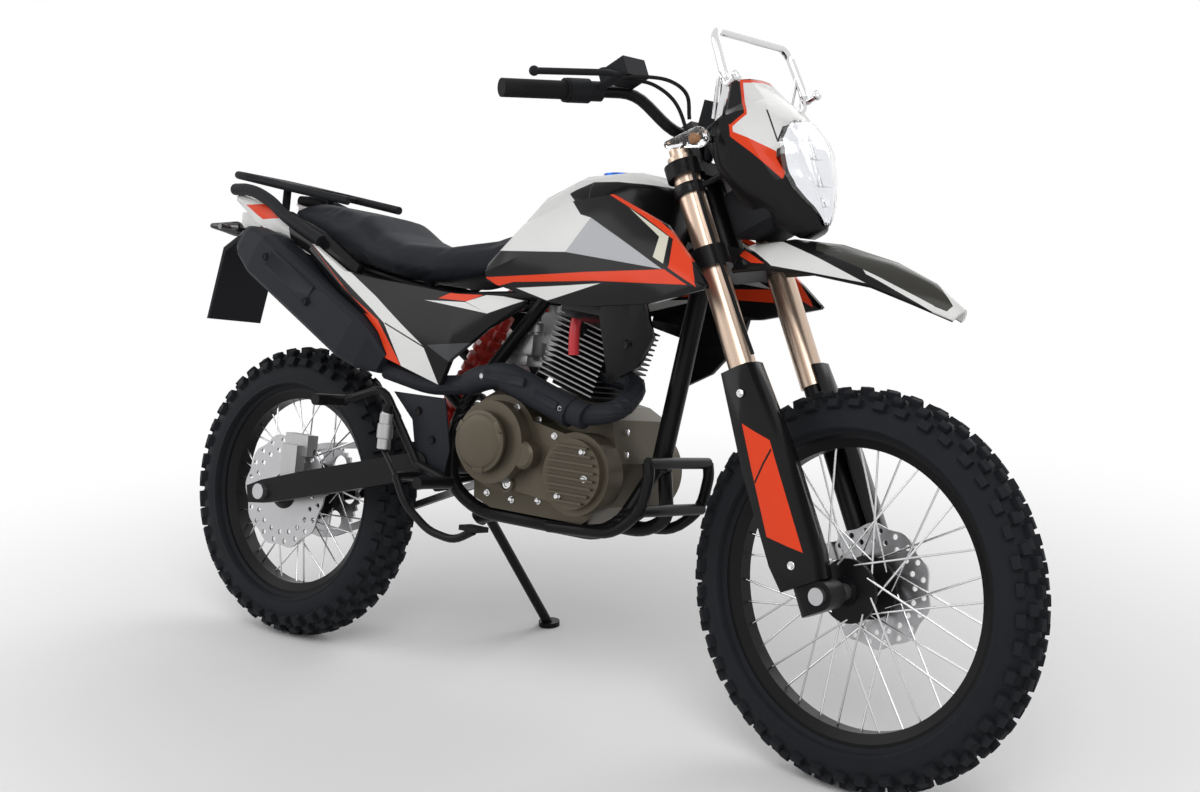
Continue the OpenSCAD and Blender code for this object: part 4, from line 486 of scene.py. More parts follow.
TANK_GRAPHICS = areas(
    Axes.SIDE,
    (BLACK, (771, 1005), (812, 1031), (824, 963)),
    (BLACK, (812, 1031), (965, 1036), (965, 963), (824, 963)),
    (BLACK, (824, 964), (965, 964), (965, 850), (806, 892)))
SHROUD_GRAPHICS = areas(
    Axes.SIDE,
    (WHITE, (592, 886), (636, 960), (771, 1012), (824, 963)),
    (WHITE, (592, 886), (824, 964), (849, 959), (805, 892)),
    (SILVER, (849, 959), (805, 892), (1049, 870)),
    (RED, (812, 1033), (840, 1026), (1019, 955), (974, 965)),
    (RED, (974, 965), (1019, 955), (1094, 912), (1055, 925)),
    (RED, (1055, 926), (1094, 912), (1135, 842), (1062, 873)),
    (CREAM, (938, 979), (1044, 929), (1023, 928)),
    (CREAM, (1044, 930), (1048, 880), (1021, 891), (1023, 929)),
    (RED, (606, 834), (858, 857), (884, 842), (678, 829)),
    (RED, (858, 857), (1054, 870), (1113, 845), (884, 842)),
    (RED, (606, 834), (680, 829), (640, 819)),
    (WHITE, (688, 818), (902, 838), (771, 799)))
SIDE_GRAPHICS = areas(
    Axes.SIDE,
    (RED, (575, 822), (618, 806), (566, 784), (490, 785)),
    (WHITE, (456, 779), (562, 782), (624, 764)),
    (WHITE, (562, 783), (620, 803), (706, 795), (624, 764)),
    (WHITE, (120, 880), (254, 818), (472, 687), (358, 725)),
    (WHITE, (358, 725), (472, 687), (528, 608), (427, 630)),
    (RED, (130, 872), (261, 774), (229, 796)),
    (RED, (261, 774), (341, 729), (300, 741), (229, 796)),
    (RED, (341, 729), (425, 634), (361, 648), (349, 687)),
    (RED, (341, 730), (349, 686), (300, 741)),
    (GREY, (482, 690), (600, 705), (545, 661)),
    (BLACK, (361, 726), (476, 686), (476, 683), (361, 723)))
TAIL_GRAPHICS = areas(
    Axes.SIDE,
    (RED, (-161, 957), (-92, 961), (-21, 929), (-82, 925)),
    (BLACK, (-20, 1000), (250, 1000), (250, 800), (30, 880)))
MASK_GRAPHICS = areas(
    Axes.OBLIQUE,
    (RED, (-155, 925), (-80, 931), (30, 840), (-153, 853)),
    (RED, (-153, 854), (40, 854), (40, 720), (-179, 832)),
    (RED, (-180, 834), (-178, 812), (-88, 734), (-60, 800)),
    (WHITE, (-149, 919), (-80, 925), (30, 830), (-148, 850)),
    (WHITE, (-149, 851), (40, 851), (40, 760), (-174, 829)),
    (WHITE, (-174, 830), (-173, 820), (-93, 780), (-60, 800)),
    (BLACK, (-114, 861), (-111, 861), (-95, 803), (-98, 803)),
    (BLACK, (-98, 800), (-86, 829), (-53, 841), (-53, 800)),
    (BLACK, (-54, 844), (-30, 838), (-20, 800), (-54, 800))) + areas(
    Axes.SIDE,
    (BLACK, (-20, 935), (160, 935), (126, 855), (-20, 855)),
    (BLACK, (-20, 856), (126, 856), (113, 700), (-20, 700)))
FENDER_GRAPHICS = areas(
    Axes.OBLIQUE,
    (WHITE, (-152, 641), (-98, 641), (38, 545), (-108, 583)),
    (RED, (-156, 630), (-119, 588), (-139, 591), (-162, 613)),
    (WHITE, (38, 569), (41, 561), (141, 493), (146, 502)),
    (WHITE, (120, 620), (140, 493), (192, 468), (195, 620)),
    (STRIP, (-31, 609), (41, 568), (60, 640), (-22, 640)),
    (STRIP, (40, 569), (146, 502), (155, 640), (40, 640)),
    (STRIP, (143, 503), (162, 494), (173, 503), (148, 560)),
    (BLACK, (187, 460), (205, 460), (205, 500), (193, 498)))
LAMP_GRAPHICS = areas(Axes.REAR, (BLACK, (77, 1000), (300, 1000), (300, 800), (77, 800)))
GUARD_GRAPHICS = areas(
    Axes.SIDE,
    (RED, (18, 322), (62, 276), (62, 76), (2, 122)),
    (BLACK, (10, 214), (60, 258), (60, 263), (10, 219)))


class Finishes:
    """Every finish of the bike, made on first use."""

    made: dict[str, bpy.types.Material] = {}

    @classmethod
    def table(cls) -> dict[str, Finish]:
        """All finishes by name.

        Returns:
            The finishes, keyed by the name that pieces ask for.
        """
        upright, steered = LAYOUT.placed(), LAYOUT.steered()
        finishes = [
            Finish("tank_paint", WHITE, **GLOSS, graphics=TANK_GRAPHICS, local=upright),
            Finish("shroud_paint", BLACK, **GLOSS, graphics=SHROUD_GRAPHICS, local=upright),
            Finish("side_paint", BLACK, **GLOSS, graphics=SIDE_GRAPHICS, local=upright),
            Finish("tail_paint", WHITE, **GLOSS, graphics=TAIL_GRAPHICS, local=upright),
            Finish("mask_paint", BLACK, **GLOSS, graphics=MASK_GRAPHICS, local=steered),
            Finish("fender_paint", BLACK, **GLOSS, graphics=FENDER_GRAPHICS, local=steered),
            Finish("guard_paint", BLACK, **GLOSS, graphics=GUARD_GRAPHICS, local=steered),
            Finish("matt_plastic", (0.012, 0.0125, 0.015), (0.5, 0.66), specular=0.12, scale=1400.0, relief=0.12),
            Finish("frame_paint", (0.007, 0.007, 0.008), (0.28, 0.4), specular=0.13, scale=500.0),
            Finish("heat_paint", (0.016, 0.018, 0.023), (0.46, 0.62), specular=0.14, scale=700.0, mottle=0.3,
                   relief=0.08),
            Finish("blue_anodised", (0.02, 0.12, 0.55), (0.2, 0.3), metallic=0.8),
            Finish("seat_vinyl", (0.014, 0.016, 0.021), (0.5, 0.68), specular=0.16, scale=1700.0, relief=0.35),
            Finish("bronze_case", (0.090, 0.076, 0.054), (0.36, 0.5), metallic=0.5, specular=0.3, scale=1500.0,
                   relief=0.12),
            Finish("barrel_paint", (0.016, 0.016, 0.016), (0.4, 0.55), specular=0.15, relief=0.1, local=upright,
                   rim=(0.48, 0.48, 0.48), rim_from=0.070),
            Finish("cast_alloy", (0.42, 0.42, 0.42), (0.34, 0.5), metallic=0.85, scale=1300.0, relief=0.12),
            Finish("fork_anodised", (0.60, 0.46, 0.36), (0.24, 0.36), metallic=0.9, scale=300.0, mottle=0.08),
            Finish("plain_steel", (0.46, 0.46, 0.47), (0.26, 0.4), metallic=0.95, scale=800.0),
            Finish("bright_steel", (0.70, 0.70, 0.71), (0.1, 0.2), metallic=1.0, scale=600.0, mottle=0.06),
            Finish("shock_red", (0.55, 0.03, 0.02), (0.25, 0.36), coat=0.5),
            Finish("rubber", (0.010, 0.010, 0.010), (0.62, 0.78), specular=0.14, scale=1600.0, relief=0.2),
            Finish("tyre_rubber", (0.013, 0.014, 0.017), (0.58, 0.76), specular=0.14, scale=700.0, mottle=0.35,
                   relief=0.25),
            Finish("clear_lens", (0.97, 0.97, 0.98), (0.0, 0.03), transmission=1.0, mottle=0.0, relief=0.0),
            Finish("red_lens", (0.55, 0.01, 0.01), (0.08, 0.16), coat=0.6, mottle=0.1, graphics=LAMP_GRAPHICS,
                   local=upright),
            Finish("reflector", (0.85, 0.86, 0.88), (0.05, 0.14), metallic=1.0, scale=60.0, relief=0.6),
            Finish("plug_red", (0.55, 0.02, 0.03), (0.3, 0.42)),
            Finish("dial_glass", (0.03, 0.034, 0.032), (0.06, 0.12), coat=0.5),
            Finish("amber_core", (0.30, 0.12, 0.02), (0.3, 0.45)),
        ]
        return {finish.name: finish for finish in finishes}

    @classmethod
    def get(cls, name: str) -> bpy.types.Material:
        """The material of that name.

        Args:
            name: a finish's name.

        Returns:
            The material.
        """
        if name not in cls.made:
            cls.made[name] = cls.table()[name].build()
        return cls.made[name]


FINISHED_NODES: dict[str, str] = {
    "tank_paint": "fuel_tank",
    "shroud_paint": "tank_shrouds",
    "side_paint": "side_panels",
    "tail_paint": "tail_fairing",
    "mask_paint": "headlight_mask",
    "fender_paint": "front_fender",
    "guard_paint": "fork_guards",
    "matt_plastic": "rear_mudguard rear_rack controls instruments",
    "frame_paint": ("frame engine_guard swingarm foot_pegs brake_pedal side_stand fork_clamps fork_lowers "
                    "handlebar front_hub rear_hub front_rim rear_rim"),
    "heat_paint": "exhaust_header silencer",
    "blue_anodised": "fuel_cap",
    "seat_vinyl": "seat",
    "bronze_case": "engine_case clutch_cover",
    "barrel_paint": "cylinder_barrel",
    "cast_alloy": "carburettor front_caliper rear_caliper",
    "fork_anodised": "fork_tubes",
    "plain_steel": "front_axle rear_axle front_disc rear_disc rear_sprocket chain gear_lever",
    "bright_steel": "front_spokes rear_spokes accessory_rack",
    "shock_red": "rear_shock",
    "rubber": "grips",
    "tyre_rubber": "front_tyre rear_tyre",
    "clear_lens": "headlight_lens front_signals",
    "red_lens": "rear_lamps",
}
NODE_FINISH = {node: finish for finish, nodes in FINISHED_NODES.items() for node in nodes.split()}


class Bench:
    """Modelling steps that every assembly uses, each an operator as by hand."""

    FACING = 0.9
    HEAD_DISH = (0.35, -0.25)
    WASHER = (1.35, 0.5, 0.1)

    @staticmethod
    def take(piece: Piece) -> None:
        """Select one piece alone and make it active."""
        bpy.ops.object.select_all(action="DESELECT")
        piece.select_set(True)
        bpy.context.view_layer.objects.active = piece

    @staticmethod
    def add(name: str, operator: Callable[..., object], **settings: object) -> Piece:
        """Add a primitive with nothing else selected, and name it.

        Args:
            name: the piece's name.
            operator: the operator that adds it.
            settings: the operator's settings.

        Returns:
            The piece.
        """
        bpy.ops.object.select_all(action="DESELECT")
        operator(**settings)
        piece = bpy.context.object
        piece.name = name
        return piece

    @staticmethod
    def link(name: str, data: bpy.types.ID) -> Piece:
        """Put new data into the scene as an object that is selected alone.

        Args:
            name: the object's name.
            data: its mesh, curve, camera or lamp.

        Returns:
            The object.
        """
        piece = bpy.data.objects.new(name, data)
        bpy.context.scene.collection.objects.link(piece)
        Bench.take(piece)
        return piece

    @staticmethod
    def edit(piece: Piece, steps: Callable[[], None]) -> None:
        """Run operators in edit mode on the whole piece.

        Args:
            piece: the piece to work on.
            steps: the operators, called with everything selected.
        """
        Bench.take(piece)
        bpy.ops.object.mode_set(mode="EDIT")
        bpy.ops.mesh.select_all(action="SELECT")
        steps()
        bpy.ops.object.mode_set(mode="OBJECT")

    @staticmethod
    def pick(piece: Piece, test: Callable[[bpy.types.MeshPolygon], bool],
             steps: Callable[[], None]) -> None:
        """Run operators in edit mode on chosen faces.

        Args:
            piece: the piece to work on.
            test: says whether a face is chosen.
            steps: the operators, called with those faces selected.
        """
        Bench.take(piece)
        bpy.ops.object.mode_set(mode="EDIT")
        bpy.ops.mesh.select_mode(type="FACE")
        bpy.ops.mesh.select_all(action="DESELECT")
        bpy.ops.object.mode_set(mode="OBJECT")
        for face in piece.data.polygons:
            face.select = test(face)
        bpy.ops.object.mode_set(mode="EDIT")
        steps()
        bpy.ops.object.mode_set(mode="OBJECT")

    @staticmethod
    def looks(way: Point) -> Callable[[bpy.types.MeshPolygon], bool]:
        """Test for the faces that look one way."""
        return lambda face: face.normal.dot(Vector(way)) > Bench.FACING

    @staticmethod
    def inset(piece: Piece, way: Point, thickness: float, depth: float) -> None:
        """Inset the faces that look one way."""
        Bench.pick(piece, Bench.looks(way), lambda: bpy.ops.mesh.inset(thickness=thickness, depth=depth))

    @staticmethod
    def resize(piece: Piece, way: Point, shares: Point) -> None:
        """Scale the faces that look one way."""
        Bench.pick(piece, Bench.looks(way), lambda: bpy.ops.transform.resize(value=shares))

    @staticmethod
    def modify(piece: Piece, kind: str, **values: object) -> None:
        """Add a modifier, set it and apply it.

        Args:
            piece: the piece to change.
            kind: the modifier's type.
            values: its settings.
        """
        Bench.take(piece)
        step = piece.modifiers.new(kind.lower(), kind)
        for name, value in values.items():
            setattr(step, name, value)
        bpy.ops.object.modifier_apply(modifier=step.name)

    @staticmethod
    def smooth(piece: Piece, degrees: float = 35.0) -> None:
        """Shade smooth, with edges sharper than the angle kept."""
        Bench.take(piece)
        bpy.ops.object.shade_smooth_by_angle(angle=math.radians(degrees))

    @staticmethod
    def soften(piece: Piece, width: float, degrees: float, shade: Optional[float] = None) -> None:
        """Round the edges sharper than an angle and shade the piece smooth.

        Args:
            piece: the piece to change.
            width: width of the rounding.
            degrees: the angle.
            shade: the shading's angle, where it is another one.
        """
        Bench.modify(piece, "BEVEL", width=width, segments=2, limit_method="ANGLE",
                     angle_limit=math.radians(degrees))
        Bench.smooth(piece, degrees if shade is None else shade)

    @staticmethod
    def block(name: str, size: Point, round_off: float) -> Piece:
        """A block with rounded edges about the origin.

        Args:
            name: the piece's name.
            size: its three sizes.
            round_off: radius of its edges.

        Returns:
            The piece.
        """
        piece = Bench.add(name, bpy.ops.mesh.primitive_cube_add, size=1.0)
        piece.data.transform(Matrix.Diagonal((*size, 1.0)))
        Bench.modify(piece, "BEVEL", width=round_off, segments=2)
        Bench.smooth(piece)
        return piece

    @staticmethod
    def ball(name: str, radius: float, stretch: float = 1.0) -> Piece:
        """A ball about the origin.

        Args:
            name: the piece's name.
            radius: its radius.
            stretch: its length along x, in diameters.

        Returns:
            The piece.
        """
        piece = Bench.add(name, bpy.ops.mesh.primitive_uv_sphere_add, segments=20, ring_count=12, radius=radius)
        piece.data.transform(Matrix.Diagonal((stretch, 1.0, 1.0, 1.0)))
        Bench.smooth(piece, degrees=60.0)
        return piece

    @staticmethod
    def bolts(name: str, size: Corner, places: Sequence[Matrix], *dress: object) -> None:
        """Hexagon bolt heads on their washers, each standing along z of its place.

        Args:
            name: the piece's name.
            size: radius across a head's corners, and its height.
            places: where each bolt goes.
            dress: body, slot and finish.
        """
        radius, height = size
        head = Bench.add(name, bpy.ops.mesh.primitive_cylinder_add, vertices=6, radius=radius, depth=height)
        head.data.transform(Matrix.Translation((0.0, 0.0, height / 2)))
        border, depth = Bench.HEAD_DISH
        Bench.inset(head, UPWARDS, radius * border, height * depth)
        wide, thick, edge = Bench.WASHER
        washer = Bench.add(name + "_washer", bpy.ops.mesh.primitive_cylinder_add, vertices=16,
                           radius=radius * wide, depth=height * thick)
        Bench.modify(washer, "BEVEL", width=height * edge, segments=1)
        Bench.finish(Bench.repeat(Bench.unite([head, washer]), places), *dress)

    @staticmethod
    def unite(pieces: Sequence[Piece]) -> Piece:
        """Join pieces into the first one.

        Args:
            pieces: the pieces, all of which become one.

        Returns:
            The joined piece.
        """
        Bench.take(pieces[0])
        for piece in pieces:
            piece.select_set(True)
        bpy.ops.object.join()
        return pieces[0]

    @staticmethod
    def repeat(piece: Piece, places: Sequence[Matrix]) -> Piece:
        """Copy a piece to each place and join the copies.

        Args:
            piece: what repeats; it ends as part of the result.
            places: where each copy goes.

        Returns:
            One piece with all copies.
        """
        copies = []
        for place in places[1:]:
            copy = piece.copy()
            copy.data = piece.data.copy()
            copy.data.transform(place)
            bpy.context.scene.collection.objects.link(copy)
            copies.append(copy)
        piece.data.transform(places[0])
        return Bench.unite([piece, *copies])

    @staticmethod
    def from_node(name: str, node: str) -> Piece:
        """A merged copy of a CAD node's mesh, as a start for a finer piece.

        Args:
            name: the new piece's name.
            node: the CAD node.

        Returns:
            The piece.
        """
        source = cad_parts[node]
        mesh = source.data.copy()
        mesh.transform(source.matrix_world)
        mesh.materials.clear()
        piece = Bench.link(name, mesh)
        bpy.ops.mesh.customdata_custom_splitnormals_clear()

        def merge() -> None:
            """Close the mesh and bring flat areas back to whole faces."""
            bpy.ops.mesh.remove_doubles(threshold=0.00002)
            bpy.ops.mesh.dissolve_limited(angle_limit=math.radians(1.0))
        Bench.edit(piece, merge)
        return piece

    @staticmethod
    def tube(name: str, path: Sequence[Vector], radius: float, sides: int = 3) -> Piece:
        """A round rod or hose along a smooth path.

        Args:
            name: the piece's name.
            path: points that it passes.
            radius: its radius.
            sides: fineness of its section.

        Returns:
            The piece, as a mesh.
        """
        line = bpy.data.curves.new(name, "CURVE")
        line.dimensions = "3D"
        line.bevel_depth = radius
        line.bevel_resolution = sides
        line.resolution_u = 6
        line.use_fill_caps = True
        spline = line.splines.new("BEZIER")
        spline.bezier_points.add(len(path) - 1)
        for point, place in zip(spline.bezier_points, path):
            point.co = place
            point.handle_left_type = point.handle_right_type = "AUTO"
        piece = Bench.link(name, line)
        bpy.ops.object.convert(target="MESH")
        Bench.edit(piece, lambda: bpy.ops.mesh.remove_doubles(threshold=0.00001))
        Bench.smooth(piece, degrees=50.0)
        return piece

    @staticmethod
    def spin(name: str, profile: Outline, steps: int, place: Matrix = UNTURNED,
             shade: Optional[float] = None) -> Piece:
        """Turn a closed outline of radius and height about z.

        Args:
            name: the piece's name.
            profile: radius and height of each corner.
            steps: steps round the turn.
            place: where the piece goes.
            shade: the smooth shading's angle, if it is shaded smooth.

        Returns:
            The piece.
        """
        mesh = bpy.data.meshes.new(name)
        count = len(profile)
        mesh.from_pydata([(r, 0.0, z) for r, z in profile], [(i, (i + 1) % count) for i in range(count)], [])
        piece = Bench.link(name, mesh)

        def turn() -> None:
            """Spin the outline, close its seam and turn its faces outwards."""
            bpy.ops.mesh.spin(steps=steps, angle=math.tau, center=(0, 0, 0), axis=UPWARDS)
            bpy.ops.mesh.select_all(action="SELECT")
            bpy.ops.mesh.remove_doubles(threshold=0.00005)
            bpy.ops.mesh.normals_make_consistent(inside=False)
        Bench.edit(piece, turn)
        piece.data.transform(place)
        if shade is not None:
            Bench.smooth(piece, shade)
        return piece

    @staticmethod
    def finish(piece: Piece, body: Body, slot: str, finish: str, *nodes: str) -> None:
        """Paint a piece, attach it to the body that it moves with and hide the CAD nodes that it stands for.

        Args:
            piece: the finished piece.
            body: the body that it moves with.
            slot: not used.
            finish: the name of its finish.
            nodes: CAD nodes that it stands for.
        """
        piece.data.materials.clear()
        piece.data.materials.append(Finishes.get(finish))
        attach(piece, body.value)
        if nodes:
            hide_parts(*nodes)
        LOG.info("%s: %d faces on %s", piece.name, len(piece.data.polygons), body.value)


@dataclass
class Studio:
    """Camera at the photograph's angle, pale floor and soft light."""

    camera_at: Point = (1.8589, -2.4787, 1.2163)
    yaw: float = 126.85
    pitch: float = -11.53
    roll: float = -1.09
    lens: float = 46.19
    sensor: float = 36.0
    floor_size: float = 60.0
    floor_colour: Colour = (0.93, 0.93, 0.93)
    floor_roughness: float = 0.9
    fade: tuple[float, float] = (0.7, 2.4)
    world_light: float = 0.42
    aim: Point = (0.0, -0.1, 0.6)
    lamps: Sequence[tuple[str, Point, float, float]] = (
        ("key", (2.5, -3.0, 4.2), 3.0, 95.0), ("side", (-3.2, -2.6, 2.6), 2.6, 40.0),
        ("back", (0.5, 3.6, 3.4), 3.0, 55.0))

    def build(self) -> None:
        """Make the camera, the floor, the lamps and the world."""
        self.set_camera()
        self.lay_floor()
        self.hang_lamps()
        self.fill_world()

    def set_camera(self) -> None:
        """Place the camera from its yaw, pitch and roll."""
        yaw, pitch, roll = (math.radians(a) for a in (self.yaw, self.pitch, self.roll))
        ahead = Vector((math.cos(yaw) * math.cos(pitch), math.sin(yaw) * math.cos(pitch), math.sin(pitch)))
        right = Vector((math.sin(yaw), -math.cos(yaw), 0.0))
        above = right.cross(ahead)
        tilted_right = right * math.cos(roll) + above * math.sin(roll)
        tilted_up = above * math.cos(roll) - right * math.sin(roll)
        facing = Matrix((tilted_right, tilted_up, -ahead)).transposed()
        data = bpy.data.cameras.new("camera")
        data.lens = self.lens
        data.sensor_width = self.sensor
        camera = Bench.link("camera", data)
        camera.matrix_world = Matrix.Translation(self.camera_at) @ facing.to_4x4()
        bpy.context.scene.camera = camera

    @staticmethod
    def seen(graph: Graph) -> Socket:
        """Mask of the rays that show the background: the camera's, a gloss's and a glass's.

        Args:
            graph: the graph that uses the mask.

        Returns:
            The mask's socket.
        """
        path = graph.add("ShaderNodeLightPath")
        seen = path.outputs["Is Camera Ray"]
        for kind in ("Is Glossy Ray", "Is Transmission Ray"):
            seen = graph.sums("MAXIMUM", seen, path.outputs[kind])
        return seen

    def lay_floor(self) -> None:
        """Lay the pale floor, which fades to white away from the bike and keeps its shadow."""
        floor = Bench.add("floor", bpy.ops.mesh.primitive_plane_add, size=self.floor_size)
        material = bpy.data.materials.new("pale_floor")
        material.use_nodes = True
        graph = Graph(material.node_tree)
        shader = material.node_tree.nodes["Principled BSDF"]
        graph.feed(shader.inputs["Base Color"], self.floor_colour)
        graph.feed(shader.inputs["Roughness"], self.floor_roughness)
        far = graph.add("ShaderNodeVectorMath", operation="LENGTH")
        graph.join(graph.add("ShaderNodeTexCoord").outputs["Object"], far.inputs[0])
        fade = graph.add("ShaderNodeMapRange", interpolation_type="SMOOTHSTEP")
        fade.inputs["From Min"].default_value, fade.inputs["From Max"].default_value = self.fade
        graph.join(far.outputs["Value"], fade.inputs["Value"])
        mixed = graph.add("ShaderNodeMixShader")
        graph.join(graph.sums("MULTIPLY", fade.outputs[0], self.seen(graph)), mixed.inputs[0])
        graph.join(shader.outputs[0], mixed.inputs[1])
        graph.join(graph.add("ShaderNodeEmission").outputs[0], mixed.inputs[2])
        graph.join(mixed.outputs[0], material.node_tree.nodes["Material Output"].inputs["Surface"])
        floor.data.materials.append(material)

    def hang_lamps(self) -> None:
        """Hang three soft lamps round the bike."""
        for name, place, size, power in self.lamps:
            data = bpy.data.lights.new(name, "AREA")
            data.energy = power
            data.size = size
            facing = (Vector(self.aim) - Vector(place)).to_track_quat("-Z", "Y")
            Bench.link(name, data).matrix_world = Matrix.Translation(place) @ facing.to_matrix().to_4x4()

    def fill_world(self) -> None:
        """Pale world: white where it is seen, softer as light."""
        world = bpy.data.worlds.new("studio")
        bpy.context.scene.world = world
        world.use_nodes = True
        graph = Graph(world.node_tree)
        shader = world.node_tree.nodes["Background"]
        graph.feed(shader.inputs["Color"], (1.0, 1.0, 1.0))
        graph.join(graph.sums("MAXIMUM", self.seen(graph), self.world_light), shader.inputs["Strength"])
        bpy.context.scene.view_settings.view_transform = "Standard"


@dataclass
class KnobblyTyre:
    """A tyre with its carcass turned and its knobs set in staggered rows.

    Each row is its tilt across the crown in degrees, its start and a knob's length in pitches, and
    a knob's width in crown radii. The flank is given inwards from the crown's middle and in shares
    of the half width, the bead from the rim's edge.
    """

    name: str
    node: str
    body: Body
    place: Matrix
    outer_r: float
    crown_r: float
    width: float
    bead_r: float
    rim_w: float
    pitches: int = 44
    knob_h: float = 0.0115
    knob_root: float = 0.004
    knob_sunk: float = 0.0006
    knob_top: Point = (0.84, 0.82, 1.0)
    knob_dish: Corner = (0.10, 0.03)
    uneven: Sequence[tuple[float, float]] = ((0.06, 0.9), (0.0, 1.06))
    rows: Sequence[tuple[float, float, float, float]] = (
        (10.5, 0.0, 0.46, 0.30), (-10.5, 0.22, 0.46, 0.30), (36.0, 0.5, 0.44, 0.34),
        (-36.0, 0.72, 0.44, 0.34), (63.0, 0.12, 0.50, 0.36), (-63.0, 0.34, 0.50, 0.36))
    flank: Outline = ((0.004, 0.925), (0.018, 0.90), (0.020, 0.925), (0.023, 0.925), (0.025, 0.89))
    bead: Outline = ((0.010, 0.006), (0.002, 0.002), (0.001, -0.004))
    steps: int = 132

    def build(self) -> None:
        """Make the tyre and put it in place of its CAD node."""
        tyre = Bench.unite([self.carcass(), self.knobs()])
        tyre.data.transform(self.place)
        Bench.smooth(tyre, degrees=38.0)
        Bench.finish(tyre, self.body, "tyre", "tyre_rubber", self.node)

    def carcass(self) -> Piece:
        """Turn the carcass.

        Returns:
            The carcass about the wheel's axis.
        """
        middle = self.outer_r - self.crown_r
        minor = self.crown_r - self.knob_h
        half, rim = self.width / 2, self.rim_w / 2
        tread = [(middle + minor * math.cos(a), minor * math.sin(a)) for a in map(math.radians, range(-70, 71, 14))]
        flank = [(middle - inward, half * share) for inward, share in self.flank]
        flank += [(self.bead_r + out, rim + wide) for out, wide in self.bead]
        outline = tread + flank + [(r, -z) for r, z in reversed(flank)]
        return Bench.spin(self.name, outline, self.steps)

    def knobs(self) -> Piece:
        """Set the rows of knobs.

        Returns:
            All knobs as one piece.
        """
        knob = Bench.add(self.name + "_knob", bpy.ops.mesh.primitive_cube_add, size=1.0)
        knob.data.transform(Matrix.Translation((0.0, 0.0, -0.5)))
        Bench.resize(knob, UPWARDS, self.knob_top)
        Bench.inset(knob, UPWARDS, *self.knob_dish)
        pitch = math.tau / self.pitches
        places = []
        for i in range(self.pitches):
            shift, widen = self.uneven[i % 2]
            for tilt, start, along, broad in self.rows:
                size = (pitch * self.outer_r * along, self.crown_r * broad * widen, self.knob_h + self.knob_root)
                places.append(self.knob_place((i + start + shift) * pitch, tilt, size))
        return Bench.repeat(knob, places)

    def knob_place(self, angle: float, tilt: float, size: Point) -> Matrix:
        """Place one knob on the crown.

        Args:
            angle: its angle round the wheel.
            tilt: its angle across the crown, in degrees.
            size: its length, width and height.

        Returns:
            The matrix from the unit knob to its place.
        """
        lean = math.radians(tilt)
        out = Vector((math.cos(angle), math.sin(angle), 0.0))
        normal = out * math.cos(lean) + Vector(UPWARDS) * math.sin(lean)
        along = Vector((-math.sin(angle), math.cos(angle), 0.0))
        foot = out * (self.outer_r - self.crown_r) + normal * (self.crown_r - self.knob_sunk)
        stand = Matrix((along, normal.cross(along), normal)).transposed().to_4x4()
        return Matrix.Translation(foot) @ stand @ Matrix.Diagonal((*size, 1.0))


@dataclass
class Bodywork:
    """Painted panels with softened edges."""

    edge: float = 0.0016
    panels: Sequence[tuple[str, Body, str, float]] = (
        ("fuel_tank", Body.CHASSIS, "white_plastic", 40.0), ("tank_shrouds", Body.CHASSIS, "gloss_black", 30.0),
        ("side_panels", Body.CHASSIS, "gloss_black", 30.0), ("tail_fairing", Body.CHASSIS, "white_plastic", 30.0),
        ("headlight_mask", Body.FORK, "white_plastic", 30.0), ("front_fender", Body.FORK, "gloss_black", 40.0),
        ("fork_guards", Body.FORK, "gloss_black", 30.0))

    def build(self) -> None:
        """Make each panel from its CAD form."""
        for node, body, slot, angle in self.panels:
            panel = Bench.from_node(node + "_panel", node)
            Bench.soften(panel, width=self.edge, degrees=angle)
            Bench.finish(panel, body, slot, NODE_FINISH[node], node)


@dataclass
class Seat:
    """The two-level seat, padded by a cloth simulation."""

    voxel: float = 0.006
    pressure: float = 4.0
    stiffness: float = 30.0
    last_frame: int = 14
    most: float = 0.007
    shrink: float = 0.004
    fill: float = 0.8

    def build(self) -> None:
        """Make the padded seat."""
        seat = Bench.from_node("seat_pad", "seat")
        Bench.modify(seat, "REMESH", mode="VOXEL", voxel_size=self.voxel)
        Bench.modify(seat, "DISPLACE", strength=-self.shrink, mid_level=0.0)
        self.swell(seat)
        Bench.modify(seat, "SMOOTH", factor=0.5, iterations=4)
        Bench.modify(seat, "SUBSURF", levels=1, render_levels=1)
        Bench.smooth(seat, degrees=80.0)
        Bench.finish(seat, Body.CHASSIS, "seat_cover", "seat_vinyl", "seat")

    def swell(self, seat: Piece) -> None:
        """Blow the cover up a little and keep the result.

        Args:
            seat: the remeshed seat.
        """
        rest = [v.co.copy() for v in seat.data.vertices]
        cloth = seat.modifiers.new("cloth", "CLOTH")
        cloth.settings.use_pressure = True
        cloth.settings.uniform_pressure_force = self.pressure
        cloth.settings.effector_weights.gravity = 0.0
        cloth.settings.tension_stiffness = self.stiffness
        scene = bpy.context.scene
        for number in range(1, self.last_frame + 1):
            scene.frame_set(number)
        view = bpy.context.evaluated_depsgraph_get()
        blown = seat.evaluated_get(view).to_mesh()
        moved = [v.co.copy() for v in blown.vertices]
        seat.evaluated_get(view).to_mesh_clear()
        seat.modifiers.remove(cloth)
        scene.frame_set(1)
        for vertex, start, end in zip(seat.data.vertices, rest, moved):
            step = end - start
            if step.length > self.most:
                step.length = self.most
            vertex.co = start + step


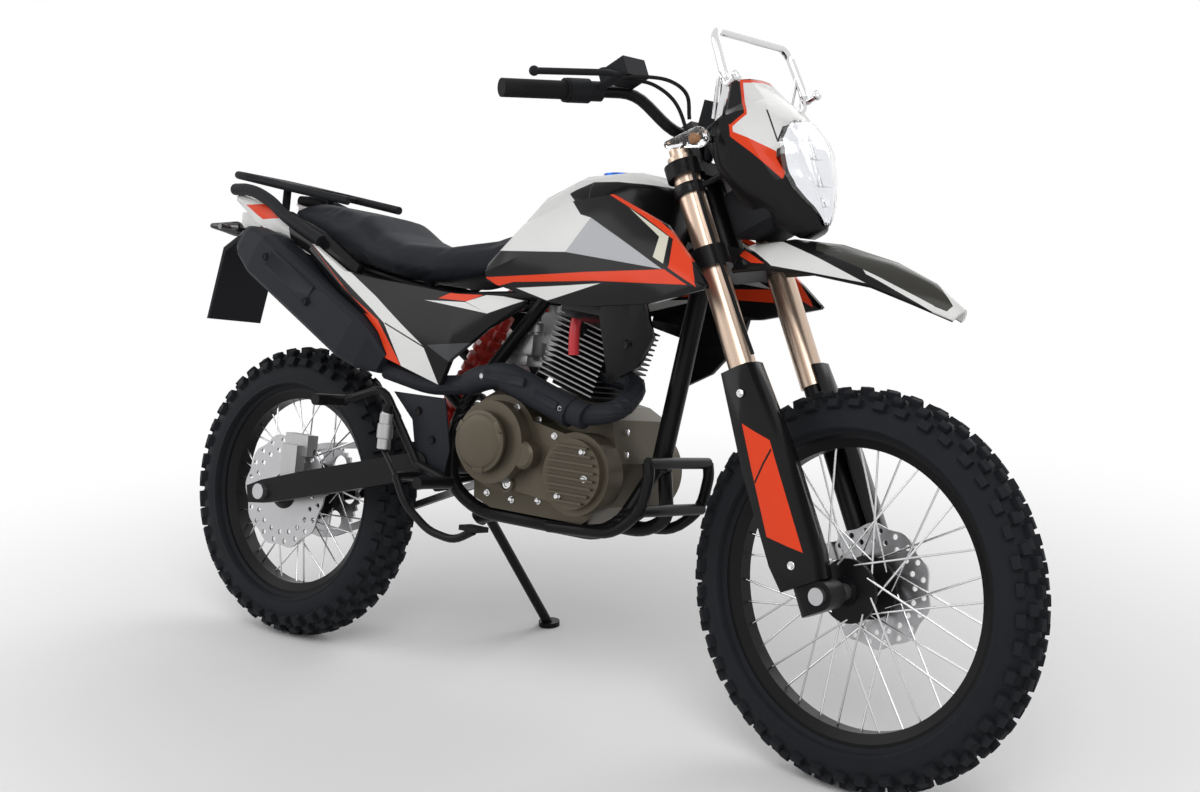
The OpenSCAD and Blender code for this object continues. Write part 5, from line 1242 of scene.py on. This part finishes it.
@dataclass
class Engine:
    """Fasteners, covers and fittings on the right of the engine."""

    bolts: Path = (
        (710, -142, 591), (750, -122, 572), (807, -142, 547), (885, -155, 526), (895, -155, 477),
        (838, -155, 437), (747, -95, 414), (681, -95, 407), (618, -95, 412), (640, -142, 448), (908, -52, 567),
        (921, -65, 525))
    bolt_size: Corner = (0.0052, 0.005)
    dome_at: Point = (664, -185, 519)
    dome_size: Corner = (0.060, 0.008)
    dome_high: float = 0.002
    dome_steps: Outline = ((0.006, 0.0), (0.004, 0.004), (0.014, 0.002))
    rib_at: Point = (0.052, 0.0, 0.004)
    rib_size: Point = (0.018, 0.026, 0.010)
    rib_angles: Sequence[float] = (35.0, 155.0, 275.0)
    sight_at: Point = (706, -142, 442)
    sight_rings: Sequence[tuple[str, str, str, Outline]] = (
        ("sight_boss", "case_bronze", "bronze_case",
         ((0.0115, -0.006), (0.018, -0.006), (0.0165, 0.006), (0.0115, 0.006))),
        ("sight_plug", "steel", "bright_steel",
         ((0.0005, -0.005), (0.0112, -0.005), (0.0112, 0.003), (0.009, 0.005), (0.006, 0.005), (0.005, 0.003),
          (0.0005, 0.003))))
    plug_path: Path = ((803, -104, 780), (804, -110, 758), (806, -112, 728), (808, -111, 702))
    plug_r: float = 0.0105
    lead_path: Path = ((806, -104, 780), (812, -92, 812), (800, -60, 838), (780, -30, 846))
    lead_r: float = 0.0035
    shield_path: Path = (
        (884, -151, 592), (840, -153, 601), (760, -157, 625), (690, -157, 647), (630, -148, 640), (578, -134, 624))
    shield_r: float = 0.0255
    arm_at: Point = (754, -158, 504)
    arm_size: Point = (0.100, 0.030, 0.054)
    arm_slope: float = 8.0
    arm_end: Outline = ((0.0005, -0.015), (0.027, -0.015), (0.027, 0.010), (0.022, 0.015), (0.0005, 0.015))
    carb_blocks: Sequence[tuple[Point, Point]] = (
        ((628, -24, 712), (0.070, 0.066, 0.044)), ((622, -26, 682), (0.054, 0.052, 0.026)),
        ((606, -56, 716), (0.020, 0.014, 0.024)))
    carb_cap_at: Point = (642, -24, 731)
    carb_cap: Outline = (
        (0.0005, 0.0), (0.019, 0.0), (0.019, 0.006), (0.021, 0.008), (0.021, 0.022), (0.016, 0.027), (0.006, 0.029),
        (0.004, 0.044), (0.0005, 0.044))
    plates: Sequence[tuple[Point, Point, float, float]] = (
        ((702, -180, 645), (0.108, 0.010, 0.018), 4.0, -4.0), ((806, -180, 614), (0.062, 0.010, 0.016), 17.0, 1.0))
    plate_dish: Corner = (0.0035, -0.003)
    shield_bolts: Path = ((642, -174, 643), (842, -178, 602))
    shield_bolt_size: Corner = (0.0052, 0.004)

    def build(self) -> None:
        """Make and dress the engine's details."""
        Bench.bolts("cover_bolts", self.bolt_size, [on_bike(b, RIGHTWARDS) for b in self.bolts],
                    Body.CHASSIS, "steel", "bright_steel")
        self.dome()
        for name, slot, finish, outline in self.sight_rings:
            ring = Bench.spin(name, outline, steps=32, place=on_bike(self.sight_at, RIGHTWARDS), shade=30.0)
            Bench.finish(ring, Body.CHASSIS, slot, finish)
        cap = Bench.tube("plug_cap", [up(*q) for q in self.plug_path], self.plug_r)
        Bench.finish(cap, Body.CHASSIS, "shock_red", "plug_red")
        lead = Bench.tube("plug_lead", [up(*q) for q in self.lead_path], self.lead_r)
        Bench.finish(lead, Body.CHASSIS, "rubber", "rubber")
        shield = Bench.tube("header_shield", [up(*q) for q in self.shield_path], self.shield_r, sides=5)
        Bench.soften(shield, width=0.004, degrees=60.0, shade=40.0)
        Bench.finish(shield, Body.CHASSIS, "exhaust_black", "heat_paint")
        self.arm()
        self.carburettor()
        self.shield_plates()

    def dome(self) -> None:
        """Stepped round cover over the clutch, with ribs on its edge."""
        radius, depth = self.dome_size
        dome = Bench.add("clutch_dome", bpy.ops.mesh.primitive_cylinder_add, vertices=48, radius=radius, depth=depth)
        dome.data.transform(Matrix.Translation((0.0, 0.0, self.dome_high)))
        for thickness, height in self.dome_steps:
            Bench.pick(dome, lambda face: face.normal.z > Bench.FACING and face.center.xy.length < radius / 6,
                       lambda: bpy.ops.mesh.inset(thickness=thickness, depth=height))
        Bench.soften(dome, width=0.0012, degrees=30.0)
        ribs = Bench.repeat(Bench.block("clutch_rib", self.rib_size, round_off=0.003), [
            rotation(a, "Z") @ Matrix.Translation(self.rib_at) for a in self.rib_angles])
        dome = Bench.unite([dome, ribs])
        dome.data.transform(on_bike(self.dome_at, RIGHTWARDS))
        Bench.finish(dome, Body.CHASSIS, "case_bronze", "bronze_case")

    def arm(self) -> None:
        """Raised arm from the clutch cover to its rounded end."""
        beam = Bench.block("clutch_arm", self.arm_size, round_off=0.010)
        beam.data.transform(Matrix.Translation((-self.arm_size[0] / 2, 0.0, 0.0)))
        arm = Bench.unite([beam, Bench.spin("clutch_arm_end", self.arm_end, steps=32, place=RIGHTWARDS, shade=40.0)])
        arm.data.transform(on_bike(self.arm_at, rotation(self.arm_slope, "Y")))
        Bench.finish(arm, Body.CHASSIS, "case_bronze", "bronze_case")

    def carburettor(self) -> None:
        """Body, bowl, starter and cap behind the plain CAD body."""
        pieces = []
        for place, size in self.carb_blocks:
            pieces.append(Bench.block("carburettor_body", size, round_off=0.005))
            pieces[-1].data.transform(on_bike(place))
        cap = Bench.spin("carburettor_cap", self.carb_cap, steps=28, place=on_bike(self.carb_cap_at), shade=35.0)
        Bench.finish(Bench.unite([*pieces, cap]), Body.CHASSIS, "cast_alloy", "cast_alloy")

    def shield_plates(self) -> None:
        """Long plates and bolts along the header's shield."""
        plates = []
        for place, size, slope, yaw in self.plates:
            plates.append(Bench.block("shield_plates", size, round_off=0.0025))
            Bench.inset(plates[-1], TO_RIGHT, *self.plate_dish)
            plates[-1].data.transform(on_bike(place, rotation(slope, "Y") @ rotation(yaw, "Z")))
        Bench.finish(Bench.unite(plates), Body.CHASSIS, "exhaust_black", "heat_paint")
        Bench.bolts("shield_bolts", self.shield_bolt_size, [on_bike(b, RIGHTWARDS) for b in self.shield_bolts],
                    Body.CHASSIS, "steel", "plain_steel")


@dataclass
class LeftCovers:
    """Flywheel cover and bolts on the left of the engine."""

    centre: Point = (827, 147, 484)
    profile: Outline = (
        (0.0005, -0.002), (0.064, -0.002), (0.064, 0.003), (0.058, 0.007), (0.032, 0.009), (0.028, 0.006),
        (0.014, 0.006), (0.012, 0.010), (0.0005, 0.010))
    bolt_ring: float = 0.076
    bolt_count: int = 6
    bolt_size: Corner = (0.0052, 0.005)
    case_bolts: Path = ((604, 95, 430), (690, 95, 402), (604, 95, 560), (660, 95, 606))

    def build(self) -> None:
        """Make and dress the left covers."""
        hub = on_bike(self.centre, LEFTWARDS)
        cover = Bench.spin("flywheel_cover", self.profile, steps=48, place=hub, shade=30.0)
        Bench.finish(cover, Body.CHASSIS, "case_bronze", "bronze_case")
        places = []
        for i in range(self.bolt_count):
            angle = math.tau * (i + 0.5) / self.bolt_count
            places.append(hub @ Matrix.Translation((self.bolt_ring * math.cos(angle),
                                                    self.bolt_ring * math.sin(angle), 0.0)))
        places += [on_bike(b, LEFTWARDS) for b in self.case_bolts]
        Bench.bolts("left_bolts", self.bolt_size, places, Body.CHASSIS, "steel", "bright_steel")


@dataclass
class Dash:
    """Dial and screen on the instruments."""

    centre: Point = (84, 0, 880)
    tilt: float = 40.0
    face: float = -0.0205
    dial_at: Point = (0.0, 0.026, 0.0)
    bezel: Outline = ((0.026, -0.001), (0.031, -0.001), (0.030, 0.004), (0.027, 0.005))
    dial: Outline = ((0.0005, -0.001), (0.0265, -0.001), (0.0265, 0.002), (0.0005, 0.003))
    screen_at: Point = (0.0, -0.034, 0.0)
    screen_size: Point = (0.044, 0.040, 0.004)

    def build(self) -> None:
        """Make the dial with its bezel, and the screen beside it."""
        front = on_fork(self.centre, rotation(self.tilt, "Y")) @ Matrix.Translation((self.face, 0.0, 0.0))
        front = front @ rotation(-90.0, "Y")
        dial_at = front @ Matrix.Translation(self.dial_at)
        bezel = Bench.spin("dial_bezel", self.bezel, steps=40, place=dial_at, shade=40.0)
        Bench.finish(bezel, Body.FORK, "steel", "plain_steel")
        dial = Bench.spin("dial_face", self.dial, steps=40, place=dial_at)
        screen = Bench.block("dial_screen", self.screen_size, round_off=0.001)
        screen.data.transform(front @ Matrix.Translation(self.screen_at))
        Bench.finish(Bench.unite([dial, screen]), Body.FORK, "gloss_black", "dial_glass")


@dataclass
class Exhaust:
    """Panel and bolts of the silencer."""

    panel_at: Point = (108, -207, 801)
    panel_size: Point = (0.150, 0.006, 0.044)
    panel_dish: Corner = (0.005, -0.0025)
    slope: float = 29.0
    yaw: float = 3.0
    bolts: Path = ((38, -211, 838), (166, -205, 752))
    bolt_size: Corner = (0.0075, 0.006)

    def build(self) -> None:
        """Make and dress the silencer's details."""
        panel = Bench.block("silencer_panel", self.panel_size, round_off=0.0022)
        Bench.inset(panel, TO_RIGHT, *self.panel_dish)
        panel.data.transform(on_bike(self.panel_at, rotation(self.slope, "Y") @ rotation(self.yaw, "Z")))
        Bench.finish(panel, Body.CHASSIS, "exhaust_black", "heat_paint")
        Bench.bolts("silencer_bolts", self.bolt_size, [on_bike(b, RIGHTWARDS) for b in self.bolts],
                    Body.CHASSIS, "exhaust_black", "matt_plastic")


@dataclass
class Tail:
    """Grab rails beside the seat."""

    rail: Path = (
        (-214, 100, 992), (-150, 112, 990), (-70, 124, 968), (0, 138, 936), (70, 148, 908), (138, 152, 882))
    radius: float = 0.0135

    def build(self) -> None:
        """Make both grab rails."""
        paths = [[up(x, y * side, z) for x, y, z in self.rail] for side in SIDES]
        rails = [Bench.tube("grab_rails", path, self.radius, sides=4) for path in paths]
        Bench.finish(Bench.unite(rails), Body.CHASSIS, "gloss_black", "matt_plastic")


@dataclass
class Headlight:
    """Clear lens over silvered chambers, the signals' cores, and the rack's studs and stays."""

    outline: Outline = (
        (0.618, 0.006), (0.640, 0.024), (0.665, 0.042), (0.690, 0.058), (0.715, 0.068), (0.746, 0.074),
        (0.774, 0.071), (0.795, 0.056), (0.808, 0.034))
    glass: float = 0.003
    shell: float = 0.0015
    clear_of_form: float = 0.0012
    start_ahead: float = 0.32
    inner_share: float = 0.92
    recess: float = 0.016
    cowl_at: Point = (112, 0, 694)
    cowl_size: Point = (0.090, 0.136, 0.096)
    cowl_foot: Point = (0.8, 0.86, 1.0)
    cells: Sequence[tuple[Point, Point]] = (
        ((232, 18, 756), (0.014, 0.032, 0.040)), ((228, 17, 708), (0.014, 0.030, 0.044)),
        ((222, 9, 664), (0.012, 0.014, 0.028)))
    cell_dish: Corner = (0.003, -0.006)
    signal: Point = (110, 156, 822)
    signal_turn: float = -45.0
    core_r: float = 0.007
    core_stretch: float = 1.5
    stud: Path = ((186, 122, 893), (198, 123, 896), (208, 124, 899))
    stud_r: float = 0.005
    ball_at: Point = (210, 124, 900)
    ball_r: float = 0.0078
    stay: Path = ((186, 112, 945), (160, 113, 905), (128, 108, 858))
    stay_r: float = 0.0035

    def build(self) -> None:
        """Make the lamp and the rack's small parts."""
        form = self.front_form()
        glass = self.sheet("headlight_glass", form, 1.0, 0.0)
        Bench.modify(glass, "SOLIDIFY", thickness=self.glass, offset=1.0)
        self.place(glass, "clear_lens", "clear_lens", "headlight_lens")
        chambers = self.sheet("headlight_chambers", form, self.inner_share, self.recess)
        Bench.modify(chambers, "SOLIDIFY", thickness=self.shell, offset=-1.0)
        self.place(chambers, "bright_steel", "reflector")
        bpy.data.objects.remove(form)
        parts = []
        for (ahead, out, high), size in self.cells:
            cell = Bench.block("lamp_cells", size, round_off=0.002)
            Bench.inset(cell, FORWARDS, *self.cell_dish)
            parts.append(Bench.repeat(cell, [at((ahead, y, high)) for y in (out, -out)]))
        self.place(Bench.unite(parts), "bright_steel", "bright_steel")
        cowl = Bench.block("headlight_cowl", self.cowl_size, round_off=0.012)
        Bench.resize(cowl, DOWNWARDS, self.cowl_foot)
        cowl.data.transform(at(self.cowl_at))
        self.place(cowl, "gloss_black", "matt_plastic")
        self.signals()
        self.studs()

    def place(self, piece: Piece, slot: str, finish: str, *nodes: str) -> None:
        """Turn a piece from the fork's frame to its place and dress it.

        Args:
            piece: the piece, in the fork's frame.
            slot: a slot name, passed on to Bench.finish.
            finish: the name of its finish.
            nodes: CAD nodes that it stands for.
        """
        piece.data.transform(LAYOUT.steered())
        Bench.smooth(piece, degrees=40.0)
        Bench.finish(piece, Body.FORK, slot, finish, *nodes)

    def front_form(self) -> Piece:
        """Smooth form round the mask and the lens, in the fork's frame, to lay the lamp's sheets on.

        Returns:
            The form, which is not part of the scene in the end.
        """
        form = Bench.unite([Bench.from_node("lamp_form", node) for node in ("headlight_mask", "headlight_lens")])
        form.data.transform(LAYOUT.steered().inverted())
        Bench.edit(form, bpy.ops.mesh.convex_hull)
        return form

    def sheet(self, name: str, form: Piece, share: float, recess: float) -> Piece:
        """A sheet with the lamp's outline, laid on the front form.

        Args:
            name: the piece's name.
            form: the front form.
            share: share of the outline's half width.
            recess: how far its middle lies behind the form.

        Returns:
            The sheet, in the fork's frame.
        """
        sheet = Bench.add(name, bpy.ops.mesh.primitive_grid_add, x_subdivisions=24, y_subdivisions=32, size=2.0)
        low, high = self.outline[0][0], self.outline[-1][0]
        depths = []
        for vertex in sheet.data.vertices:
            across, along = vertex.co.x, vertex.co.y
            height = (low + high) / 2 + along * (high - low) / 2 * (0.5 + share / 2)
            vertex.co = (self.start_ahead, across * share * self.half_width(height), height)
            depths.append(recess * (1.0 - across ** 2) ** 2 * (1.0 - along ** 4))
        Bench.modify(sheet, "SHRINKWRAP", target=form, wrap_method="PROJECT", use_project_x=True,
                     use_negative_direction=True, use_positive_direction=False)
        for vertex, depth in zip(sheet.data.vertices, depths):
            vertex.co.x += self.clear_of_form - depth
        return sheet

    def half_width(self, height: float) -> float:
        """Half width of the lamp's outline.

        Args:
            height: height in the fork's frame.

        Returns:
            The half width there.
        """
        for (z0, w0), (z1, w1) in zip(self.outline, self.outline[1:]):
            if height <= z1:
                return w0 + (w1 - w0) * max(0.0, height - z0) / (z1 - z0)
        return self.outline[-1][1]

    def signals(self) -> None:
        """Amber cores in the clear front signals."""
        x, y, z = self.signal
        cores = Bench.repeat(Bench.ball("signal_cores", self.core_r, self.core_stretch), [
            on_fork((x, y * side, z), rotation(self.signal_turn * side, "Z")) for side in SIDES])
        Bench.finish(cores, Body.FORK, "clear_lens", "amber_core")

    def studs(self) -> None:
        """Ball studs and thin stays of the rack."""
        parts = []
        for side in SIDES:
            mirror = Vector((1.0, side, 1.0))
            parts.append(Bench.tube("rack_studs", [turned(*(Vector(q) * mirror)) for q in self.stud], self.stud_r))
            parts.append(Bench.ball("rack_ball", self.ball_r))
            parts[-1].data.transform(Matrix.Translation(turned(*(Vector(self.ball_at) * mirror))))
            parts.append(Bench.tube("rack_stay", [turned(*(Vector(q) * mirror)) for q in self.stay], self.stay_r))
        Bench.finish(Bench.unite(parts), Body.FORK, "bright_steel", "bright_steel")


@dataclass
class Fittings:
    """Bolts on the guards, the heel guards, the rear brake cylinder and the cables."""

    guard_bolts: Path = ((34, -136, 372), (34, -136, 62))
    guard_bolt_size: Corner = (0.0055, 0.004)
    heel_outline: Outline = ((381, 588), (523, 588), (548, 487), (536, 424), (470, 420), (440, 536))
    heel_y: float = 139.0
    heel_thick: float = 0.004
    panel_bolts: Path = ((456, 141, 556), (500, 141, 502), (960, 160, 732))
    panel_bolt_size: Corner = (0.0075, 0.004)
    cylinder_at: Point = (404, -178, 472)
    cylinder: Outline = (
        (0.0005, 0.0), (0.0135, 0.0), (0.0135, 0.020), (0.0160, 0.022), (0.0160, 0.050), (0.0135, 0.052),
        (0.0135, 0.070), (0.0100, 0.076), (0.0005, 0.076))
    hose: Path = (
        (52, -222, 958), (78, -186, 940), (88, -150, 905), (84, -136, 850), (72, -134, 780), (70, -133, 700),
        (70, -130, 600), (72, -126, 500), (72, -120, 430))
    cable: Path = ((40, -250, 962), (76, -214, 952), (104, -172, 936), (110, -140, 910), (92, -128, 872))
    cord_r: float = 0.0035

    def build(self) -> None:
        """Make and dress the fittings."""
        places = [on_fork((x, y * side, z), lay) for x, y, z in self.guard_bolts
                  for side, lay in ((1, RIGHTWARDS), (-1, LEFTWARDS))]
        Bench.bolts("guard_bolts", self.guard_bolt_size, places, Body.FORK, "steel", "bright_steel")
        self.heels()
        sleeve = Bench.spin("brake_cylinder", self.cylinder, steps=28, place=on_bike(self.cylinder_at), shade=30.0)
        Bench.finish(sleeve, Body.CHASSIS, "cast_alloy", "cast_alloy")
        for name, route in (("fork_hose", self.hose), ("bar_cable", self.cable)):
            self.cord(name, [turned(*q) for q in route])

    def heels(self) -> None:
        """Plates over the swingarm's pivot, with their bolts and those of the shrouds' lower plates."""
        plates, places = [], []
        for side, lay in zip(SIDES, (RIGHTWARDS, LEFTWARDS)):
            plate = Bench.add("heel_guards", bpy.ops.mesh.primitive_circle_add, vertices=len(self.heel_outline),
                              fill_type="NGON")
            for vertex, (x, z) in zip(plate.data.vertices, self.heel_outline):
                vertex.co = up(x, side * self.heel_y, z)
            Bench.modify(plate, "SOLIDIFY", thickness=self.heel_thick, offset=0.0)
            Bench.soften(plate, width=0.0012, degrees=40.0)
            plates.append(plate)
            places += [on_bike((x, side * y, z), lay) for x, y, z in self.panel_bolts]
        Bench.finish(Bench.unite(plates), Body.CHASSIS, "black_plastic", "heat_paint")
        Bench.bolts("panel_bolts", self.panel_bolt_size, places, Body.CHASSIS, "black_frame", "frame_paint")

    def cord(self, name: str, route: Sequence[Vector]) -> None:
        """Args:
            name: the cable's name.
            route: points that it passes.
        """
        path = flow(route, per_span=4)
        cord = Bench.tube(name, path, self.cord_r)
        Bench.finish(cord, Body.FORK, "rubber", "rubber")


def main() -> None:
    """Build the scene and every assembly."""
    logging.basicConfig(level=logging.INFO, format="%(message)s")
    Studio().build()
    for node, finish in NODE_FINISH.items():
        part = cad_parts[node]
        part.data.materials.clear()
        part.data.materials.append(Finishes.get(finish))
    KnobblyTyre("front_tyre_knobbly", "front_tyre", Body.FRONT_WHEEL, LAYOUT.front_wheel(), outer_r=0.351,
                crown_r=0.046, width=0.090, bead_r=0.267, rim_w=0.046).build()
    KnobblyTyre("rear_tyre_knobbly", "rear_tyre", Body.REAR_WHEEL, LAYOUT.rear_wheel(), outer_r=0.326,
                crown_r=0.060, width=0.114, bead_r=0.229, rim_w=0.060, pitches=42).build()
    for assembly in (Bodywork, Seat, Engine, LeftCovers, Dash, Exhaust, Tail, Headlight, Fittings):
        assembly().build()


if __name__ == "__main__":
    main()
